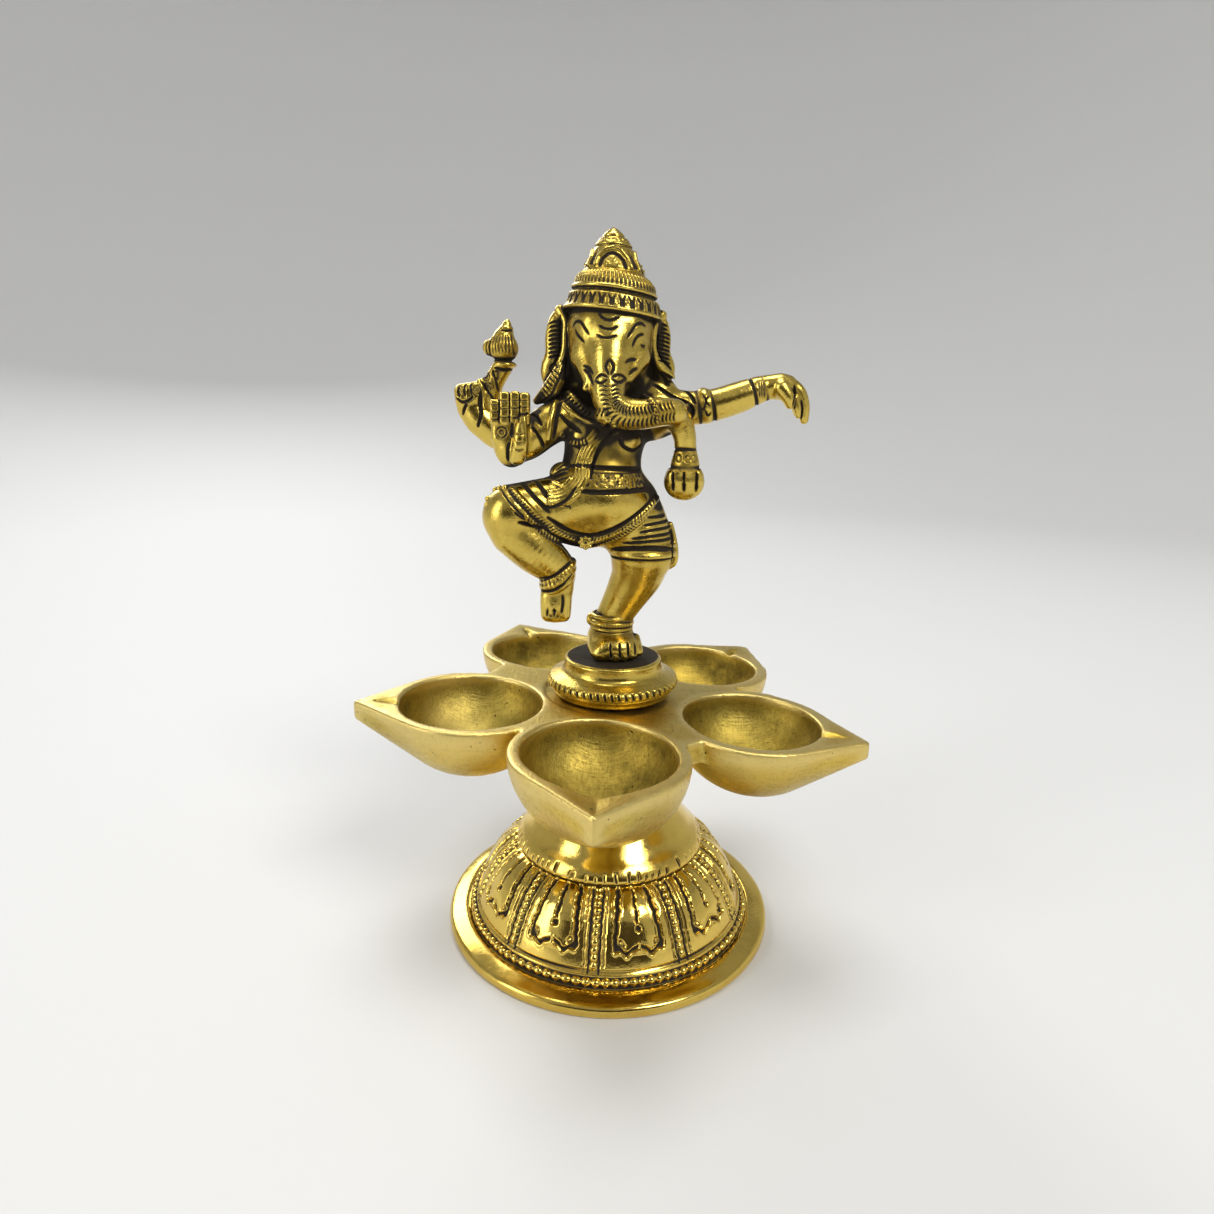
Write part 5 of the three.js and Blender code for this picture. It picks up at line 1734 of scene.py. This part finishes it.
    for x in (-28.2, -27.5, -26.8, -26.1, -25.4, -24.7, -24.0, -23.3, -22.6, -21.9):
        lean = (x + 24.4) * 0.22
        s.cut([(x, 127.3), (x - 0.1, 129.0), (x - lean, 131.2)], 0.15, 0.26)
    s.cut([(-24.9, 132.0), (-23.7, 131.9), (-22.4, 132.1)], 0.2, 0.3)


def arm_ring(centre, radius, width, axis):
    """A ring about an axis."""
    centre, axis = np.array(centre, float), np.array(axis, float)
    axis /= np.linalg.norm(axis)

    def distance(x, y, z):
        px, py, pz = x - centre[0], y - centre[1], z - centre[2]
        along = px * axis[0] + py * axis[1] + pz * axis[2]
        away = np.sqrt(np.maximum(px * px + py * py + pz * pz - along * along, 0))
        return np.sqrt((away - radius) ** 2 + along * along) - width

    return Shape(centre - radius - width, centre + radius + width, distance)


def dress_back(s):
    # The back: belt, crossing sash, cloth folds and shoulder lines.
    belt = [(-10.5, 92.4), (-6.0, 94.6), (0.0, 95.6), (6.0, 94.8), (10.4, 92.6)]
    s.cord(belt, 0.85, 0.6, TORSO, 0.8, toward=ASTERN)
    s.cut([(-9.4, 104.6), (-3.0, 105.4), (4.6, 104.6)], 0.5, 0.6, toward=ASTERN)
    s.cut([(-10.0, 100.2), (-3.0, 100.8), (6.2, 100.2)], 0.5, 0.6, toward=ASTERN)
    s.ribbon([(5.6, 116.2), (2.0, 112.4), (-3.0, 107.8), (-7.6, 102.8), (-10.4, 99.2)], 4, 1.2,
             0.45, 0.5, TORSO, ASTERN)
    s.cut([(-2.6, 116.0), (-2.7, 110.0), (-2.8, 106.0)], 0.25, 0.3, toward=ASTERN)
    for x in (2.0, 4.2, 6.4, 8.6, 10.6):
        s.cut([(x - 1.2, 93.4), (x - 0.2, 91.0), (x + 0.3, 88.9)], 0.24, 0.4, toward=ASTERN)
    for x in (-11.0, -8.6, -6.2, -3.8, -1.4):
        s.cut([(x + 1.0, 92.6), (x + 0.4, 90.4), (x + 0.8, 88.2)], 0.24, 0.35, toward=ASTERN)
    for rows in ([(-8.6, 99.4), (-12.0, 97.6), (-16.4, 97.8)],
                 [(-8.8, 96.8), (-12.6, 95.0), (-17.0, 95.4)]):
        s.cut(rows, 0.3, 0.45, toward=ASTERN)


def make_figure():
    s = Sculpture((-36.5, -17.0, 63.0), (42.0, 11.5, 152.4), FIGURE_VOXEL)
    sculpt_torso(s)
    sculpt_legs(s)
    sculpt_head(s)
    sculpt_arms(s)
    sculpt_ears(s)
    sculpt_crown(s)
    dress_legs(s)
    dress_torso(s)
    dress_head(s)
    dress_arms(s)
    dress_back(s)
    sole = Shape(np.full(3, -1e3), np.array([1e3, 1e3, 64.0]), lambda x, y, z: z - 63.45 + 0 * (x + y))
    s.carve(sole, 0.1)

    points, quads, normals = s.surface()
    fine = s.sample(s.blurred(0.6), points) / 0.6
    ink = s.sample(s.ink, points)
    # Occlusion, near and wide, darkens the cavity below: painted shade in recesses, under the chin and trunk
    # and between the arms and body.
    occlusion_shade = s.occlusion_shade(points, normals, (0.8, 1.8, 3.2, 5.0))
    wide_occlusion_shade = s.occlusion_shade(points, normals, (4.0, 6.5, 9.0))
    cavity = 0.38 + 0.9 * fine - 1.15 * ink - 1.9 * np.maximum(occlusion_shade - 0.10, 0.0)
    # The chest and the arms' roots are darkened as well: painted shade, a painted reflection of the dark
    # surroundings the chest faces.
    away = np.linalg.norm((points - [-3.0, -3.0, 110.5]) / [14.0, 14.0, 9.5], axis=1)
    cavity = cavity - 0.8 * np.maximum(wide_occlusion_shade - 0.20, 0.0) - 0.42 * (1 - soft_step(away, 0.4, 1.2))
    corner = np.round((points - s.low) / s.voxel).astype(int)
    corner = np.clip(corner, 0, np.array(s.owner.shape) - 1)
    owner = s.owner[corner[:, 0], corner[:, 1], corner[:, 2]]
    votes = owner[quads]
    mark = np.median(votes, axis=1).astype(int)
    split_parts(s, points, quads, normals, cavity, mark)


def rims(faces, count):
    """Open edges of a quad surface and the number of the hole that each belongs to."""
    edges = np.vstack([np.stack([faces[:, i], faces[:, (i + 1) % 4]], 1) for i in range(4)])
    code = edges[:, 0] * count + edges[:, 1]
    back = edges[:, 1] * count + edges[:, 0]
    edges = edges[~np.isin(code, back)]
    hole = np.arange(count)
    while True:
        lowest = np.minimum(hole[edges[:, 0]], hole[edges[:, 1]])
        before = hole.copy()
        np.minimum.at(hole, edges[:, 0], lowest)
        np.minimum.at(hole, edges[:, 1], lowest)
        if np.array_equal(before, hole):
            return edges, hole[edges[:, 0]]


def split_parts(s, points, quads, normals, cavity, mark):
    """One closed piece for each part: its share of the surface, capped where it was cut."""
    for index, part in enumerate(s.parts):
        own = quads[mark == index]
        if len(own) == 0:
            continue
        used, local = np.unique(own, return_inverse=True)
        own = local.reshape(own.shape)
        edges, hole = rims(own, len(used))
        own_points, own_normals, own_cavity = [points[used]], [normals[used]], [cavity[used]]
        faces = own.tolist()
        total = len(used)
        for number in np.unique(hole):
            ring = edges[hole == number]
            around = np.unique(ring)
            where = {vertex: total + i for i, vertex in enumerate(around.tolist())}
            middle = total + len(around)
            spots = points[used][around]
            centre = spots.mean(0)
            a, b = points[used][ring[:, 0]] - centre, points[used][ring[:, 1]] - centre
            facing = np.cross(b, a).sum(0)
            facing /= max(np.linalg.norm(facing), 1e-9)
            own_points += [spots, centre[None]]
            own_normals.append(np.tile(facing, (len(around) + 1, 1)))
            own_cavity.append(np.full(len(around) + 1, -1.0))
            faces += [(where[b], where[a], middle) for a, b in ring.tolist()]
            total = middle + 1
        made = make_object(part + "_cast", np.vstack(own_points), faces, ANTIQUE,
                           {"cavity": np.concatenate(own_cavity)}, np.vstack(own_normals))
        place(made, "figure", "antique_brass", part)


FIGURE_VOXEL = 0.2
make_figure()

bpy.context.scene.view_settings.view_transform = "Standard"
bpy.context.scene.view_settings.look = "None"
